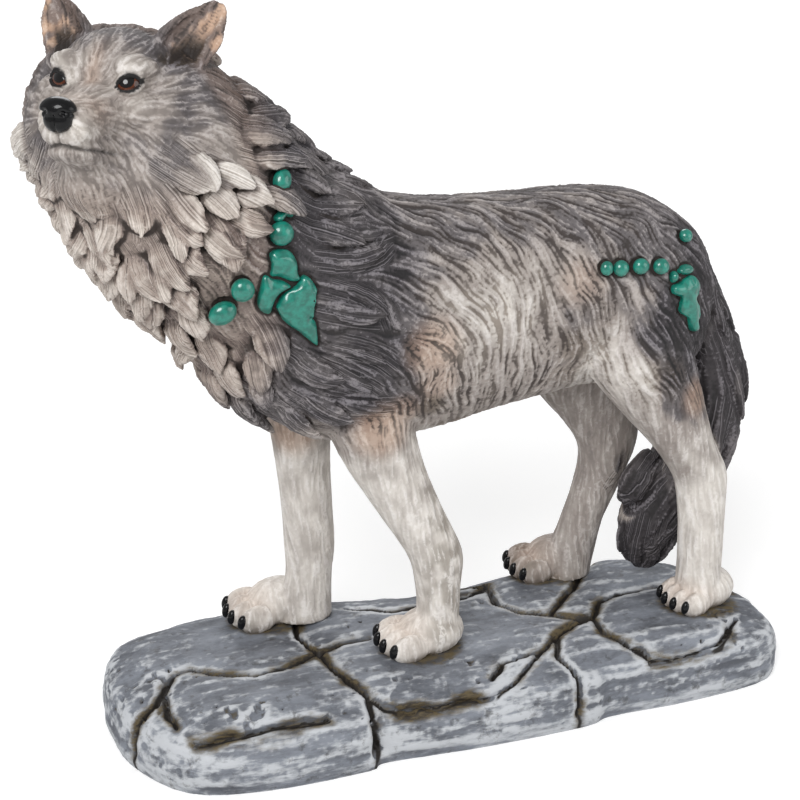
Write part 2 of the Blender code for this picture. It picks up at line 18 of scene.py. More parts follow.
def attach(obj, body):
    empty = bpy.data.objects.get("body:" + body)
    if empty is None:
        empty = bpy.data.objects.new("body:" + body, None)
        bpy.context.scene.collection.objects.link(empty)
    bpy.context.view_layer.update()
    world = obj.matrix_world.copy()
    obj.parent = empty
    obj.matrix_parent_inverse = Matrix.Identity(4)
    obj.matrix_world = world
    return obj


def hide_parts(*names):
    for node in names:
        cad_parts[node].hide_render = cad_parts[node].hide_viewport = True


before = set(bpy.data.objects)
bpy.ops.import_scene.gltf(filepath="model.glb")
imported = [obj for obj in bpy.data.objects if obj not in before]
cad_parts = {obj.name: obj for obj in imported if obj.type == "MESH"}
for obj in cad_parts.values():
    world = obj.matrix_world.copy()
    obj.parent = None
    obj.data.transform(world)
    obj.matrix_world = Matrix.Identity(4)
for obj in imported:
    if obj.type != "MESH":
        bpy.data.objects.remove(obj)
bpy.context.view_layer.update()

MM = 0.001

# Slab of flagstones
BASE_LENGTH = 208.0
BASE_WIDTH = 74.0
BASE_THICKNESS = 18.0
STONE_RISE = 3.5
DRAWN_SLAB = (208, 74)
UNDERSIDE = 0.05
CRACK_DEPTH = 3.2
CRACK_HALF_WIDTH = 1.05
STONE_ROUNDING = 4.0
EDGE_ROUNDING = 3.0

# Wolf
WOLF_Y = 7.5
PAW_SINK = 0.8
HEAD_AT = (-90, 2, 177)
HEAD_YAW = 56
HEAD_PITCH = 14
EYE_RADIUS = 4.0
EYE_SPACING = 16.4
NOSE_WIDTH = 9.6
EAR_THICKNESS = 2.4
CLAW_LENGTH = 6.0

# Carved fur; the locks' roots and tips keep clear of the beads
LOCK_WIDTH = 7.2
LOCK_LENGTH = 13.0
LOCK_THICKNESS = 4.4
LOCK_LIFT = 3.6
LOCK_STEPS = 6
MANE_ROWS = 10
MANE_AROUND = 22
MANE_END = -33.0
MANE_CLEAR = (3.5, 2.2)
RUFF_CLEAR = (3.0, 2.5)
RIDGE_WIDTH = 4.6
RIDGE_LENGTH = 28.0
RIDGES_AROUND = 8

# Turquoise beads
NECK_BEAD = 3.3
HIP_BEAD = 2.1
BEAD_PROUD = 1.5
NUGGET_PROUD = 1.9
NUGGET_ROUNDING = 1.9
NUGGET_EDGE = 0.3
BURIED_BEAD_PROUD = 3.0

# Steps of the fused skins
ROUGH_STEP = 0.85
FINE_STEP = 0.43
STONE_STEP = 0.68
NUGGET_STEP = 0.26
NOSE_STEP = 0.22
CLAW_STEP = 0.3
FUR_TRIANGLES = 750000

# Relief of the fur: how far the hollows between locks are deepened, the widths of the strands on the face,
# the flanks and the tail and of a tuft, the shift that tells the hairs of locks apart, and the grid and the
# steps along which the streaks are drawn
LOCK_BOOST = 0.9
STRAND_WIDTHS = (0.54, 0.66, 1.0, 2.2)
LANE_SHIFT = 11.3
STREAK_CELL = 1.2
STREAK_STEPS = 6

# Openings of the eyes, the lids on them and how deep the sockets lie behind the eyeballs' fronts
EYE_HALF_WIDTH = 2.85
EYE_UPPER = 1.65
EYE_LOWER = 1.4
LID_THICKNESS = 0.75
SOCKET_DEPTH = 0.9
EYE_TILT = 16

# Studio
FLOOR_REACH = 4.0
FLOOR_GLOW = 0.35
WORLD_LIGHT = 0.4
CAMERA_AZIMUTH = -18
CAMERA_ELEVATION = 24
CAMERA_DISTANCE = 0.575
CAMERA_TARGET = (-0.0097, 0.0133, 0.093)
CAMERA_LENS = 87.75


def srgb(red, green, blue):
    """A colour as seen, 0 to 255 a channel, in the linear values that shaders take."""
    out = []
    for value in (red, green, blue):
        value /= 255
        out.append(value / 12.92 if value <= 0.04045 else ((value + 0.055) / 1.055) ** 2.4)
    return tuple(out)


def ramp(value, low, high):
    """0 below low, 1 above high and a smooth rise between them; falls where high is under low."""
    t = np.clip((value - low) / (high - low), 0, 1)
    return t * t * (3 - 2 * t)


# Shapes

def smooth_rows(rows, steps=4):
    """Rows of numbers joined by a Catmull-Rom curve with that many steps between each two."""
    rows = [np.array(row, float) for row in rows]
    ends = [2 * rows[0] - rows[1], *rows, 2 * rows[-1] - rows[-2]]
    out = []
    for before, a, b, after in zip(ends, ends[1:], ends[2:], ends[3:]):
        for i in range(steps):
            t = i / steps
            bend = 2 * before - 5 * a + 4 * b - after
            turn = 3 * a - before - 3 * b + after
            out.append(0.5 * (2 * a + (b - before) * t + bend * t**2 + turn * t**3))
    return out + [rows[-1]]


def loft(rings):
    """A closed skin through rings of points, with a face over each end."""
    shape = bmesh.new()
    loops = [[shape.verts.new(p) for p in ring] for ring in rings]
    for low, high in zip(loops, loops[1:]):
        for i in range(len(low)):
            j = (i + 1) % len(low)
            shape.faces.new((low[i], low[j], high[j], high[i]))
    for loop in (loops[0], loops[-1]):
        shape.faces.new(loop)
    bmesh.ops.recalc_face_normals(shape, faces=shape.faces)
    return shape


def ring(centre, across, up, sides=24, square=2.0):
    """An oval of points round centre, with half axes across and up; square over 2 fills its corners."""
    points = []
    for i in range(sides):
        a = math.tau * i / sides
        c, s = math.cos(a), math.sin(a)
        c = math.copysign(abs(c) ** (2 / square), c)
        s = math.copysign(abs(s) ** (2 / square), s)
        points.append(Vector(centre) + Vector(across) * c + Vector(up) * s)
    return points


def limb(rows):
    """A loft down a leg from rows of x, y, z, half length fore and aft and half width."""
    return loft([ring((x, y, z), (a, 0, 0), (0, b, 0), 20) for x, y, z, a, b in smooth_rows(rows)])


def tube(rows):
    """A loft along a line in the plane of X and Z from rows of x, y, z, half width and half height."""
    rows = smooth_rows(rows)
    rings = []
    for i, (x, y, z, half, tall) in enumerate(rows):
        along = Vector(rows[min(i + 1, len(rows) - 1)][:3] - rows[max(i - 1, 0)][:3]).normalized()
        up = along.cross(Vector((0, 1, 0))).normalized()
        rings.append(ring((x, y, z), up.cross(along) * half, up * tall))
    return loft(rings)


def snout(rows):
    """A loft straight ahead from rows of x, z, half width and half height."""
    return loft([ring((x, 0, z), (0, half, 0), (0, 0, tall), 24, 2.3) for x, z, half, tall in smooth_rows(rows)])


def ball(centre, radii, turn=(0, 0, 0), fine=1):
    """An ellipsoid with its half axes in radii, turned by degrees about X, Y and Z."""
    shape = bmesh.new()
    bmesh.ops.create_uvsphere(shape, u_segments=20 * fine, v_segments=12 * fine, radius=1)
    angles = Euler([math.radians(d) for d in turn])
    place = Matrix.LocRotScale(Vector(centre), angles, Vector(radii))
    bmesh.ops.transform(shape, matrix=place, verts=shape.verts)
    return shape


def placed(shapes, matrix):
    """The same shapes, moved by matrix."""
    for shape in shapes:
        bmesh.ops.transform(shape, matrix=matrix, verts=shape.verts)
    return shapes


def mesh_of(shape, name):
    mesh = bpy.data.meshes.new(name)
    shape.to_mesh(mesh)
    shape.free()
    return mesh


def shape_of(mesh):
    shape = bmesh.new()
    shape.from_mesh(mesh)
    return shape


def gathered(shapes):
    """One mesh that holds all the shapes, still as separate skins."""
    whole = bmesh.new()
    for shape in shapes:
        single = mesh_of(shape, "single")
        whole.from_mesh(single)
        bpy.data.meshes.remove(single)
    return mesh_of(whole, "gathered")


def added(name, data):
    """A new object in the scene."""
    obj = bpy.data.objects.new(name, data)
    bpy.context.scene.collection.objects.link(obj)
    return obj


def modified(mesh, *modifiers):
    """The mesh after modifiers, each given as a type and its settings."""
    obj = added("working", mesh)
    for kind, settings in modifiers:
        modifier = obj.modifiers.new(kind, kind)
        for name, value in settings.items():
            setattr(modifier, name, value)
    graph = bpy.context.evaluated_depsgraph_get()
    result = bpy.data.meshes.new_from_object(obj.evaluated_get(graph))
    bpy.data.objects.remove(obj)
    return result


def fused(shapes, step, rounds=2):
    """One closed skin round all the shapes, with the steps of the fusing smoothed away."""
    return modified(gathered(shapes), ("REMESH", {"mode": "VOXEL", "voxel_size": step, "adaptivity": 0.0}),
                    ("SMOOTH", {"factor": 0.5, "iterations": rounds}))


# The wolf's plain forms

def centred(rows):
    """The rows with y, their second number, measured from the wolf's middle plane."""
    return [(x, WOLF_Y + y, *rest) for x, y, *rest in rows]


def torso():
    """A loft along X from rows of x, lowest z, highest z and half width."""
    rows = [(85, 95, 108, 5), (81, 84, 118, 12), (74, 75, 126, 17), (61, 73, 134, 20.5), (46, 77, 137, 20.5),
            (30, 75, 137.5, 19.5), (14, 73, 137.5, 21), (-2, 70, 138.5, 23), (-18, 69, 141.5, 25),
            (-34, 70, 148, 26.5), (-50, 78, 153, 25.5), (-64, 88, 154, 21), (-74, 100, 148, 13)]
    return [loft([ring((x, WOLF_Y, (low + high) / 2), (0, half, 0), (0, 0, (high - low) / 2), 28, 2.2)
                  for x, low, high, half in smooth_rows(rows)])]


def neck():
    return [tube(centred([
        (0, 0, 104, 15, 15), (-10, 0, 106, 21, 22), (-24, 0, 112, 25, 28), (-38, 0, 120, 27, 30),
        (-55, -0.5, 129, 28, 31), (-68, -1.5, 142, 28.5, 31), (-77, -1.5, 154, 28, 29.5),
        (-83, -0.5, 165, 26.5, 27.5), (-87, 0.5, 174, 23, 24), (-90, 1.5, 181, 16, 17), (-92, 1.5, 185, 7, 7),
    ]))]


# From the head's own frame, with X ahead, Y to the wolf's left and Z up, to the wolf's frame, and back
HEAD = Matrix.Translation(HEAD_AT) @ (Matrix.Rotation(math.radians(180 + HEAD_YAW), 4, "Z")
                                      @ Matrix.Rotation(math.radians(-HEAD_PITCH), 4, "Y"))
TO_HEAD = HEAD.inverted()
MUZZLE = HEAD @ Vector((20, 0, -5))
NOSE_AT = Vector((34.2, 0, -4.4))


# Crescents of an ear from its root to its tip: ahead, aside, up, half width and depth
EAR_ROWS = [(-2, 13, 4, 8.4, 6), (-3, 14.8, 10, 8.4, 5.5), (-5, 17.6, 15.5, 7.8, 4.8), (-7, 20.4, 20, 6, 3.8),
            (-8.5, 22.4, 23, 3.6, 2.8), (-9, 23, 24.6, 1.6, 1.6)]


def ear(side):
    """A pointed cup, open ahead and outwards: crescents that shrink up to a round tip."""
    across = Vector((-0.25, 0.93 * side, -0.26)).normalized()
    back = Vector((-0.88, -0.25 * side, 0.1)).normalized()
    arc = [math.radians(d) for d in range(0, 181, 12)]
    rings = []
    for x, y, z, wide, deep in smooth_rows(EAR_ROWS):
        centre = Vector((x, side * y, z))
        outer = [centre + across * wide * math.cos(a) + back * deep * math.sin(a) for a in arc]
        hollow = max(wide - EAR_THICKNESS, 0.2), max(deep - EAR_THICKNESS, 0.1)
        inner = [centre + across * hollow[0] * math.cos(a) + back * hollow[1] * math.sin(a) for a in reversed(arc)]
        rings.append(outer + inner)
    return loft(rings)


def eye_at(side):
    return Vector((11.6, side * EYE_SPACING / 2, 2.7))


def head():
    shapes = [
        ball((-3, 0, 2), (19, 17, 15)),
        ball((-8, -2, -7), (13, 27.5, 25)),
        ball((-2, 0, -20), (15, 16, 14)),
        snout([(4, -2, 13.5, 11), (12, -3.7, 10.5, 9.2), (19, -5.3, 8.2, 7.4), (26, -6.4, 7.2, 6.5),
               (31.5, -6.9, 6.6, 5.7), (33.8, -6.7, 4, 3.6)]),
        snout([(2, -12.5, 11.5, 9), (10, -13, 9, 7.5), (18, -13.2, 7.4, 5.8), (25, -13.2, 6.2, 4.8),
               (29, -12.8, 5, 3.8), (31.5, -12.4, 2.6, 2)]),
        ball((11, 0, -22), (11, 11, 8)),
    ]
    for side in (1, -1):
        shapes += [
            ball((0, 14 * side, -8), (13, 10, 13)),
            ball((8, 10.5 * side, -3.5), (8, 6.5, 6)),
            ball((8.5, 8 * side, 7), (7, 6.5, 3.8)),
            ball(eye_at(side), (EYE_RADIUS, EYE_RADIUS, EYE_RADIUS * 0.8)),
            ear(side),
        ]
    return placed(shapes, HEAD)


# Toes of a paw: how far aside in widths of a toe, and ahead; the two middle ones stand further out
TOES = [(-1.5, -5.5), (-0.5, -7.0), (0.5, -7.0), (1.5, -5.5)]


def paw_place(x, y, yaw, size):
    turn = Matrix.Rotation(math.radians(yaw), 4, "Z")
    return Matrix.Translation((x, y, STONE_RISE - PAW_SINK)) @ turn @ Matrix.Scale(size, 4)


def paw(x, y, yaw, size):
    """Four toes in front of a heel pad, facing -X before it is turned by yaw degrees."""
    toes = [ball((ahead, spread * 4, 3.8), (6, 2.7, 4.4)) for spread, ahead in TOES]
    return placed([ball((3, 0, 5), (10, 8, 7))] + toes, paw_place(x, y, yaw, size))


# Paws: x, y, how far turned and size
PAWS = [(-10, -7.5, 5, 1.05), (-49, 23.5, 8, 1.05), (81, -9, 14, 0.95), (43, 24.5, 4, 1.0)]


def legs():
    """Front left, front right, rear left and rear right, with their paws."""
    limbs = [
        limb([(-26, -4, 94, 17, 9), (-25, -5, 80, 13.5, 9), (-21, -5.5, 66, 11.5, 7.5), (-13, -6, 49, 9.6, 6.8),
              (-5.5, -6.5, 34, 8.4, 6.8), (-4.5, -7, 24, 7, 6.2), (-4.5, -7, 14, 6.6, 6), (-6, -7, 4, 8, 7)]),
        limb([(-42, 17, 90, 14, 9), (-39.5, 18, 74, 10, 8), (-38.3, 19, 58, 8.4, 7), (-37.2, 19.5, 42, 7.8, 6.6),
              (-36.5, 20, 28, 7.8, 6.6), (-37, 20, 18, 7.2, 6.2), (-39, 20, 4, 9, 7)]),
        limb([(56, -3, 100, 20, 10), (57.5, -6, 88, 17.5, 10.5), (64, -8, 74, 14, 9), (72, -9, 60, 10, 7.2),
              (78.5, -9, 48, 8.6, 6.5), (80, -9, 36, 7.6, 6), (80.5, -9, 22, 7.2, 6), (80.5, -9, 12, 7.2, 6.5),
              (81, -9, 6, 7.5, 7)]),
        limb([(46, 18, 98, 19, 10), (46, 20, 84, 18, 10), (51, 21, 70, 15.5, 9), (59, 22, 56, 12.2, 7.2),
              (61.5, 22, 46, 9.4, 6.5), (58.5, 22, 34, 7.8, 6.2), (54, 22, 22, 7, 6), (50.5, 22, 10, 7.8, 6.5),
              (49, 22, 3, 8, 7)]),
    ]
    return limbs + [shape for paw_at in PAWS for shape in paw(*paw_at)]


TAIL = centred([
    (66, 0, 119, 8, 8), (73, 0, 110, 9, 8.5), (80, 0, 96, 10, 9), (86, 0, 80, 11, 10), (88.5, 0, 65, 11, 10.5),
    (85.5, 1, 50, 11, 11), (79, 2, 36, 10.5, 11.5), (73, 3, 24, 9, 10.5), (72, 4, 14, 6.5, 7.5),
    (73, 4, 8.5, 2.5, 3),
])


def tail():
    """The tail, with a tuft that leaves its front edge above the tip."""
    return [tube(TAIL), ball((67, WOLF_Y + 1.5, 40.5), (4.2, 5, 9.5), (0, 35, 0))]


def plain_forms():
    return torso() + neck() + head() + legs() + tail()


# Carved locks

# Along each lock's middle line, filled as the locks are made: place, way along, way across, half width and
# share of the length
LOCK_SPINES = []
# Each bead's place and size, filled before the locks are made
BEADS_SEEN = []


def swell(t):
    """How full a lock is along its length: half full at the root, widest before the middle, pointed at the tip."""
    rise = 0.55 + 0.45 * math.sin(math.pi / 2 * min(t / 0.4, 1))
    close = max(0.12, 1 - (max(t - 0.4, 0) / 0.63) ** 1.9)
    return rise * close


def flat(way, normal):
    """The direction with its part along the normal taken out."""
    return (way - normal * way.dot(normal)).normalized()


def lock(skin, root, flow, size, curl):
    """A tuft that leaves the skin at root, follows it along flow and lifts to a pointed tip."""
    length, width, thick, lift = size
    spot, along = skin.find_nearest(root)[0], flow
    rings = []
    covered = 0.0
    for i in range(LOCK_STEPS + 1):
        t = math.sin(math.pi / 2 * i / LOCK_STEPS)
        spot, normal = skin.find_nearest(spot + along * (t - covered) * length)[:2]
        covered = t
        along = flat(Matrix.Rotation(curl / LOCK_STEPS, 3, normal) @ along, normal)
        full = swell(t)
        centre = spot + normal * (lift * t - 0.3 * thick * (1 - t))
        across = normal.cross(along)
        rings.append(ring(centre, across * width / 2 * full, normal * thick / 2 * full, 12))
        LOCK_SPINES.append((centre + normal * thick * 0.3 * full, along, across, width / 2 * full, t))
    return loft(rings)


def on_shoulder(spot):
    """From 0 on the neck to 1 on the shoulder."""
    return min(max((spot.x + 62) / 28, 0), 1)


def mane_flow(spot):
    """Which way the fur lies: away from the muzzle and down on the neck, back along the shoulder."""
    away = (spot - MUZZLE).normalized()
    shoulder = on_shoulder(spot)
    down = Vector((0, 0, -0.75 * (1 - shoulder)))
    return away * (0.8 - 0.3 * shoulder) + down + Vector((0.2 + 0.8 * shoulder, 0, 0))


def near_beads(spot, reach):
    return any((spot - bead).length < radius + reach for bead, radius in BEADS_SEEN)


def mane_locks(skin):
    """Locks in staggered rings round the neck, each root found by a ray in towards the neck's axis."""
    draw = random.Random(7)
    low, high = Vector((-22, WOLF_Y, 106)), Vector((-90, WOLF_Y - 1, 172))
    axis = (high - low).normalized()
    side = Vector((0, 1, 0))
    up = axis.cross(side)
    shapes = []
    for row in range(MANE_ROWS):
        centre = high.lerp(low, row / (MANE_ROWS - 1))
        for k in range(MANE_AROUND):
            a = math.tau * (k + 0.5 * (row % 2) + draw.uniform(-0.18, 0.18)) / MANE_AROUND
            out = side * math.cos(a) + up * math.sin(a)
            grow = draw.uniform(0.8, 1.15)
            curl = draw.uniform(-0.9, 0.9)
            spot, normal = skin.ray_cast(centre + axis * draw.uniform(-2.5, 2.5) + out * 70, -out)[:2]
            if spot is None:
                continue
            seen = TO_HEAD @ spot
            if seen.x > -6 and seen.z > -24 or seen.x > -17 and seen.z > 0:
                continue
            if spot.z < 84 or spot.x > MANE_END or near_beads(spot, MANE_CLEAR[0]):
                continue
            flow = flat(mane_flow(spot), normal)
            shoulder = on_shoulder(spot)
            size = (LOCK_LENGTH * grow * (1 + 0.2 * shoulder), LOCK_WIDTH * grow * (1.3 - 0.6 * shoulder),
                    LOCK_THICKNESS * (1 - 0.5 * shoulder), LOCK_LIFT * (1 - 0.7 * shoulder))
            if near_beads(spot + flow * size[0], MANE_CLEAR[1]):
                continue
            shapes.append(lock(skin, spot, flow, size, curl))
    return shapes


# Rings of the ruff: how far ahead in the head's frame, first and last angle, how many locks and their size
RUFF_ROWS = [(-1, -175, -5, 15, 0.9), (-7, -182, 2, 19, 1.0), (-13, -190, 10, 20, 1.1), (5, -168, -12, 13, 0.9),
             (9, -58, -14, 4, 0.85), (9, -166, -122, 4, 0.85)]


def ruff_locks(skin):
    """Rings of locks that stand out round the cheeks and under the jaw."""
    draw = random.Random(11)
    turn = HEAD.to_3x3()
    shapes = []
    for ahead, first, last, count, grow in RUFF_ROWS:
        for k in range(count):
            a = math.radians(first + (last - first) * (k + draw.uniform(0.3, 0.7)) / count)
            out = Vector((0, math.cos(a), math.sin(a)))
            start = HEAD @ (Vector((ahead + draw.uniform(-1.5, 1.5), 0, -6)) + out * 45)
            curl = draw.uniform(-0.8, 0.8)
            spot, normal = skin.ray_cast(start, -(turn @ out))[:2]
            if spot is None or (TO_HEAD @ spot).z > 0:
                continue
            flow = flat(turn @ (Vector((-1.3, 0, 0)) + out * 0.5) + Vector((0, 0, -0.5)), normal)
            wide = LOCK_WIDTH * grow * draw.uniform(1.05, 1.4)
            if near_beads(spot, RUFF_CLEAR[0]) or near_beads(spot + flow * LOCK_LENGTH * grow, RUFF_CLEAR[1]):
                continue
            shapes.append(lock(skin, spot, flow, (LOCK_LENGTH * grow, wide, LOCK_THICKNESS, LOCK_LIFT * 1.2), curl))
    return shapes


def tail_ridges(skin):
    """Long locks that run down the tail, side by side, and end in points at different heights."""
    draw = random.Random(5)
    rows = smooth_rows(TAIL, 2)
    shapes = []
    for i in range(2, len(rows) - 3, 3):
        centre = Vector(rows[i][:3])
        ahead = (Vector(rows[i + 1][:3]) - centre).normalized()
        side = Vector((0, 1, 0))
        back = side.cross(ahead)
        for k in range(RIDGES_AROUND):
            a = math.tau * (k + 0.5 * (i % 2) + draw.uniform(-0.15, 0.15)) / RIDGES_AROUND
            out = side * math.cos(a) + back * math.sin(a)
            spot, normal = skin.ray_cast(centre + out * 24, -out)[:2]
            if spot is None or (spot - centre).length > 14:
                continue
            size = (RIDGE_LENGTH * draw.uniform(0.8, 1.1), RIDGE_WIDTH, 3.2, 0.8)
            shapes.append(lock(skin, spot, flat(ahead, normal), size, draw.uniform(-0.25, 0.25)))
    return shapes


# Beads

# Lumps of the collar and of the hip band: x, z, half length, and half height and tilt where they differ
COLLAR = [
    (-51.6, 154.9, 0.75, 0.95, -25), (-51.4, 149.6, 0.55, 0.5, 30), (-52.8, 147.2, 0.5, 0.45),
    (-53.2, 142.4, 1.0, 0.98), (-54, 137.2, 0.7), (-51.5, 136.6, 0.8), (-53.4, 133.6, 0.85),
    (-50.6, 132.4, 0.73), (-48.9, 130, 0.37), (-57.3, 128.5, 0.7), (-54.3, 128.2, 0.56), (-57.9, 125.2, 0.7),
    (-57.9, 122.5, 0.56, 0.6), (-46.7, 129.1, 0.73), (-49.2, 127, 0.6), (-51.5, 124.6, 0.67),
    (-52.9, 121.9, 0.58), (-49.8, 121.3, 0.8), (-47, 122.2, 0.67), (-50.1, 118, 0.67), (-46.7, 118, 0.73),
    (-48.1, 115, 0.58), (-45.6, 114.7, 0.58), (-44.7, 112.3, 0.36, 0.5), (-64.4, 129.5, 0.95, 1.0, 10),
    (-69, 123, 1.2, 1.0, 25),
]
BAND = [
    (43.3, 119, 0.9, 1.0), (47.6, 118.6, 1.1), (53.7, 118.5, 1.15, 1.1), (60.1, 117.6, 1.15, 1.1),
    (65.6, 113.4, 0.85), (67.9, 115.4, 0.8), (71.2, 114.6, 0.95, 0.85), (66.8, 110.6, 1.05, 0.9),
    (70.5, 110.6, 1.0, 0.95), (69.2, 107, 1.2, 1.0), (69.4, 103.6, 1.0, 0.9), (71.2, 99.6, 0.62, 0.95),
    (70.5, 123, 0.95),
]


def bead_line():
    """The lumps in full, in millimetres, and whether each stands alone."""
    rows = []
    for group, size, single in ((COLLAR, NECK_BEAD, (0, 3, 24, 25)), (BAND, HIP_BEAD, (0, 1, 2, 3, 12))):
        for i, (x, z, half, *rest) in enumerate(group):
            tall, tilt = [*rest, *(half, 0)[len(rest):]]
            rows.append((x, z, half * size, tall * size, tilt, i in single))
    return rows


# Outlines of the flat stones among the beads, seen from the side: x and z
NUGGETS = [
    [(-56.4, 137.3), (-54.9, 138.3), (-52.2, 138.1), (-50.4, 137), (-49, 134.3), (-49, 131.3), (-48.3, 129.7),
     (-49.1, 128.8), (-51, 129.2), (-54.3, 131), (-56.4, 131.4), (-56, 134.1)],
    [(-58.4, 131.7), (-57.2, 131.7), (-55.8, 130.4), (-53.1, 129.7), (-50.9, 127.9), (-51.5, 127.4), (-54.2, 126.1),
     (-55.7, 123.4), (-56.1, 121.6), (-56.6, 120.3), (-58.3, 120.9), (-59.7, 122.6), (-60, 124.5), (-59.3, 127.8)],
    [(-48.1, 129.6), (-47, 130.3), (-45.1, 128.8), (-43.6, 125.7), (-44.6, 124.1), (-46.6, 123.3), (-45.2, 122.2),
     (-44.3, 120.8), (-45, 119.3), (-46.4, 118.3), (-44.8, 117.3), (-43.8, 115.8), (-43.3, 110.2), (-43.8, 109.3),
     (-48, 113.4), (-51.2, 116.4), (-53, 118), (-53.9, 119.9), (-54.9, 122.2), (-53.9, 124.3), (-52, 126.4),
     (-49.6, 127.3), (-48.6, 128.4)],
    [(-54.5, 146.8), (-52.5, 148.1), (-51.1, 150.3), (-49.8, 149.9), (-49, 148), (-49.1, 145.6), (-51.6, 146.4),
     (-52.2, 145.4), (-54.1, 145.4)],
    [(66.7, 115.4), (68.5, 116.3), (70.8, 115.9), (71.8, 114.5), (71.4, 113.5), (69.3, 113.3), (66.8, 114.4)],
    [(63.8, 113.2), (64.2, 115), (65.5, 115.4), (66.1, 114.4), (66, 112.9), (65.3, 112.2), (64.2, 112.1)],
    [(64.1, 110.5), (64.8, 111.4), (66.5, 111.5), (68.2, 112), (69.7, 112.6), (71.6, 112.9), (73.6, 111),
     (74.2, 109.2), (73.4, 107.6), (71.6, 107.6), (72.6, 106), (74.2, 103.4), (74, 101.8), (73, 100.4),
     (74.2, 98.6), (74.6, 96.5), (73.8, 95.2), (72.2, 95.7), (70.8, 98.5), (70.2, 100.5), (67.7, 102.3),
     (67.1, 104.3), (67.9, 107), (66.4, 107.8), (64.6, 108.8)],
]


def across(skin, x, z, side):
    """Where a line across the wolf at x and z meets the skin on one side, and the normal there."""
    return skin.ray_cast(Vector((x, WOLF_Y + side * 60, z)), Vector((0, -side, 0)))[:2]


def edge_gap(spot, a, b):
    """How far a spot lies from the line between two corners."""
    along = b - a
    t = min(max((spot - a) @ along / (along @ along), 0), 1)
    return math.hypot(*(spot - a - t * along))


def nugget(skin, outline, side):
    """A flat stone of that outline, bent over the fur, as one smooth skin."""
    shape = bmesh.new()
    rim = np.array(smooth_rows(outline + outline[:1], 3)[:-1])
    corners = [shape.verts.new((x, 0, z)) for x, z in rim]
    bmesh.ops.triangulate(shape, faces=[shape.faces.new(corners)])
    bmesh.ops.subdivide_edges(shape, edges=shape.edges[:], cuts=3, use_grid_fill=True)
    made = bmesh.ops.extrude_face_region(shape, geom=shape.faces[:], use_keep_orig=True)["geom"]
    for vert in made:
        if isinstance(vert, bmesh.types.BMVert):
            vert.co.y = 1
    for vert in shape.verts:
        spot, normal = across(skin, vert.co.x, vert.co.z, side)
        inset = min(edge_gap((vert.co.x, vert.co.z), a, b) for a, b in zip(rim, np.roll(rim, -1, 0)))
        full = math.sqrt(1 - (1 - min(inset / NUGGET_ROUNDING, 1)) ** 2)
        vert.co = spot + normal * (NUGGET_EDGE + (NUGGET_PROUD - NUGGET_EDGE) * full if vert.co.y > 0.5 else -1.5)
    bmesh.ops.recalc_face_normals(shape, faces=shape.faces)
    return shape_of(modified(fused([shape], NUGGET_STEP, 22), ("DECIMATE", {"ratio": 0.2})))


def beads(skin):
    """Beads and stones cast on the fur of both sides; the small lumps only mark where the stones lie."""
    shapes = []
    for side in (-1, 1):
        for x, z, half, tall, tilt, alone in bead_line():
            spot, normal = across(skin, x, z, side)
            if spot is None:
                continue
            BEADS_SEEN.append((spot, max(half, tall)))
            if not alone:
                continue
            lean = math.degrees(math.atan2(normal.z, abs(normal.y)))
            thick = min(half, tall) * 0.8
            proud = BEAD_PROUD if x > -60 else BURIED_BEAD_PROUD
            centre = spot + normal * (proud - thick * 0.3)
            shapes.append(ball(centre, (half, thick, tall), (side * lean, -tilt, 0), 2))
        shapes += [nugget(skin, outline, side) for outline in NUGGETS]
    return shapes


# Fine relief

def mesh_arrays(mesh):
    """Places and normals of a mesh's points, as arrays."""
    count = len(mesh.vertices)
    spots = np.empty(count * 3)
    mesh.vertices.foreach_get("co", spots)
    normals = np.empty(count * 3)
    mesh.vertex_normals.foreach_get("vector", normals)
    return spots.reshape(-1, 3), normals.reshape(-1, 3)


def set_spots(mesh, spots):
    mesh.vertices.foreach_set("co", spots.ravel())
    mesh.update()


def corner_rows(items, count):
    """The numbers of the points of a mesh's edges, two to a row, or of its triangles, three to a row."""
    rows = np.empty(len(items) * count, dtype=np.int64)
    items.foreach_get("vertices", rows)
    return rows.reshape(-1, count)


def blurred(values, pairs, rounds):
    """Values averaged with their neighbours along the edges, that many times."""
    count = len(values)
    a, b = pairs[:, 0], pairs[:, 1]
    share = 1.0 / (1 + np.bincount(a, minlength=count) + np.bincount(b, minlength=count))
    columns = [values] if values.ndim == 1 else list(values.T)
    for _ in range(rounds):
        columns = [
            (c + np.bincount(a, c[b], count) + np.bincount(b, c[a], count)) * share
            for c in columns
        ]
    return columns[0] if values.ndim == 1 else np.stack(columns, 1)


def softened(spots, pairs, mask, rounds):
    """The places smoothed by the mask's share, where it is above 0."""
    inside = mask > 0.001
    fresh = np.cumsum(inside) - 1
    kept = fresh[pairs[inside[pairs].all(1)]]
    change = blurred(spots[inside], kept, rounds) - spots[inside]
    spots[inside] += change * mask[inside][:, None]
    return spots


def noise(spots, scale, seed=0):
    """Smooth noise from -1 to 1 with lumps about scale across, the same each run."""
    p = spots / scale + 1000 + seed * 17.3
    cell = np.floor(p).astype(np.int64)
    t = p - cell
    t = t * t * (3 - 2 * t)
    total = np.zeros(len(p))
    for dx in (0, 1):
        for dy in (0, 1):
            for dz in (0, 1):
                h = (cell[:, 0] + dx) * 73856093 ^ (cell[:, 1] + dy) * 19349663 ^ (cell[:, 2] + dz) * 83492791
                h = (h ^ (h >> 13)) * 1274126177 & 0xFFFFFFFF
                h = ((h ^ (h >> 16)) & 0xFFFF) / 32767.5 - 1
                weight = (t[:, 0] if dx else 1 - t[:, 0]) * (t[:, 1] if dy else 1 - t[:, 1])
                total += h * weight * (t[:, 2] if dz else 1 - t[:, 2])
    return total


def noises(spots, scale, *seeds):
    """One column of noise for each seed."""
    return np.stack([noise(spots, scale, seed) for seed in seeds], 1)


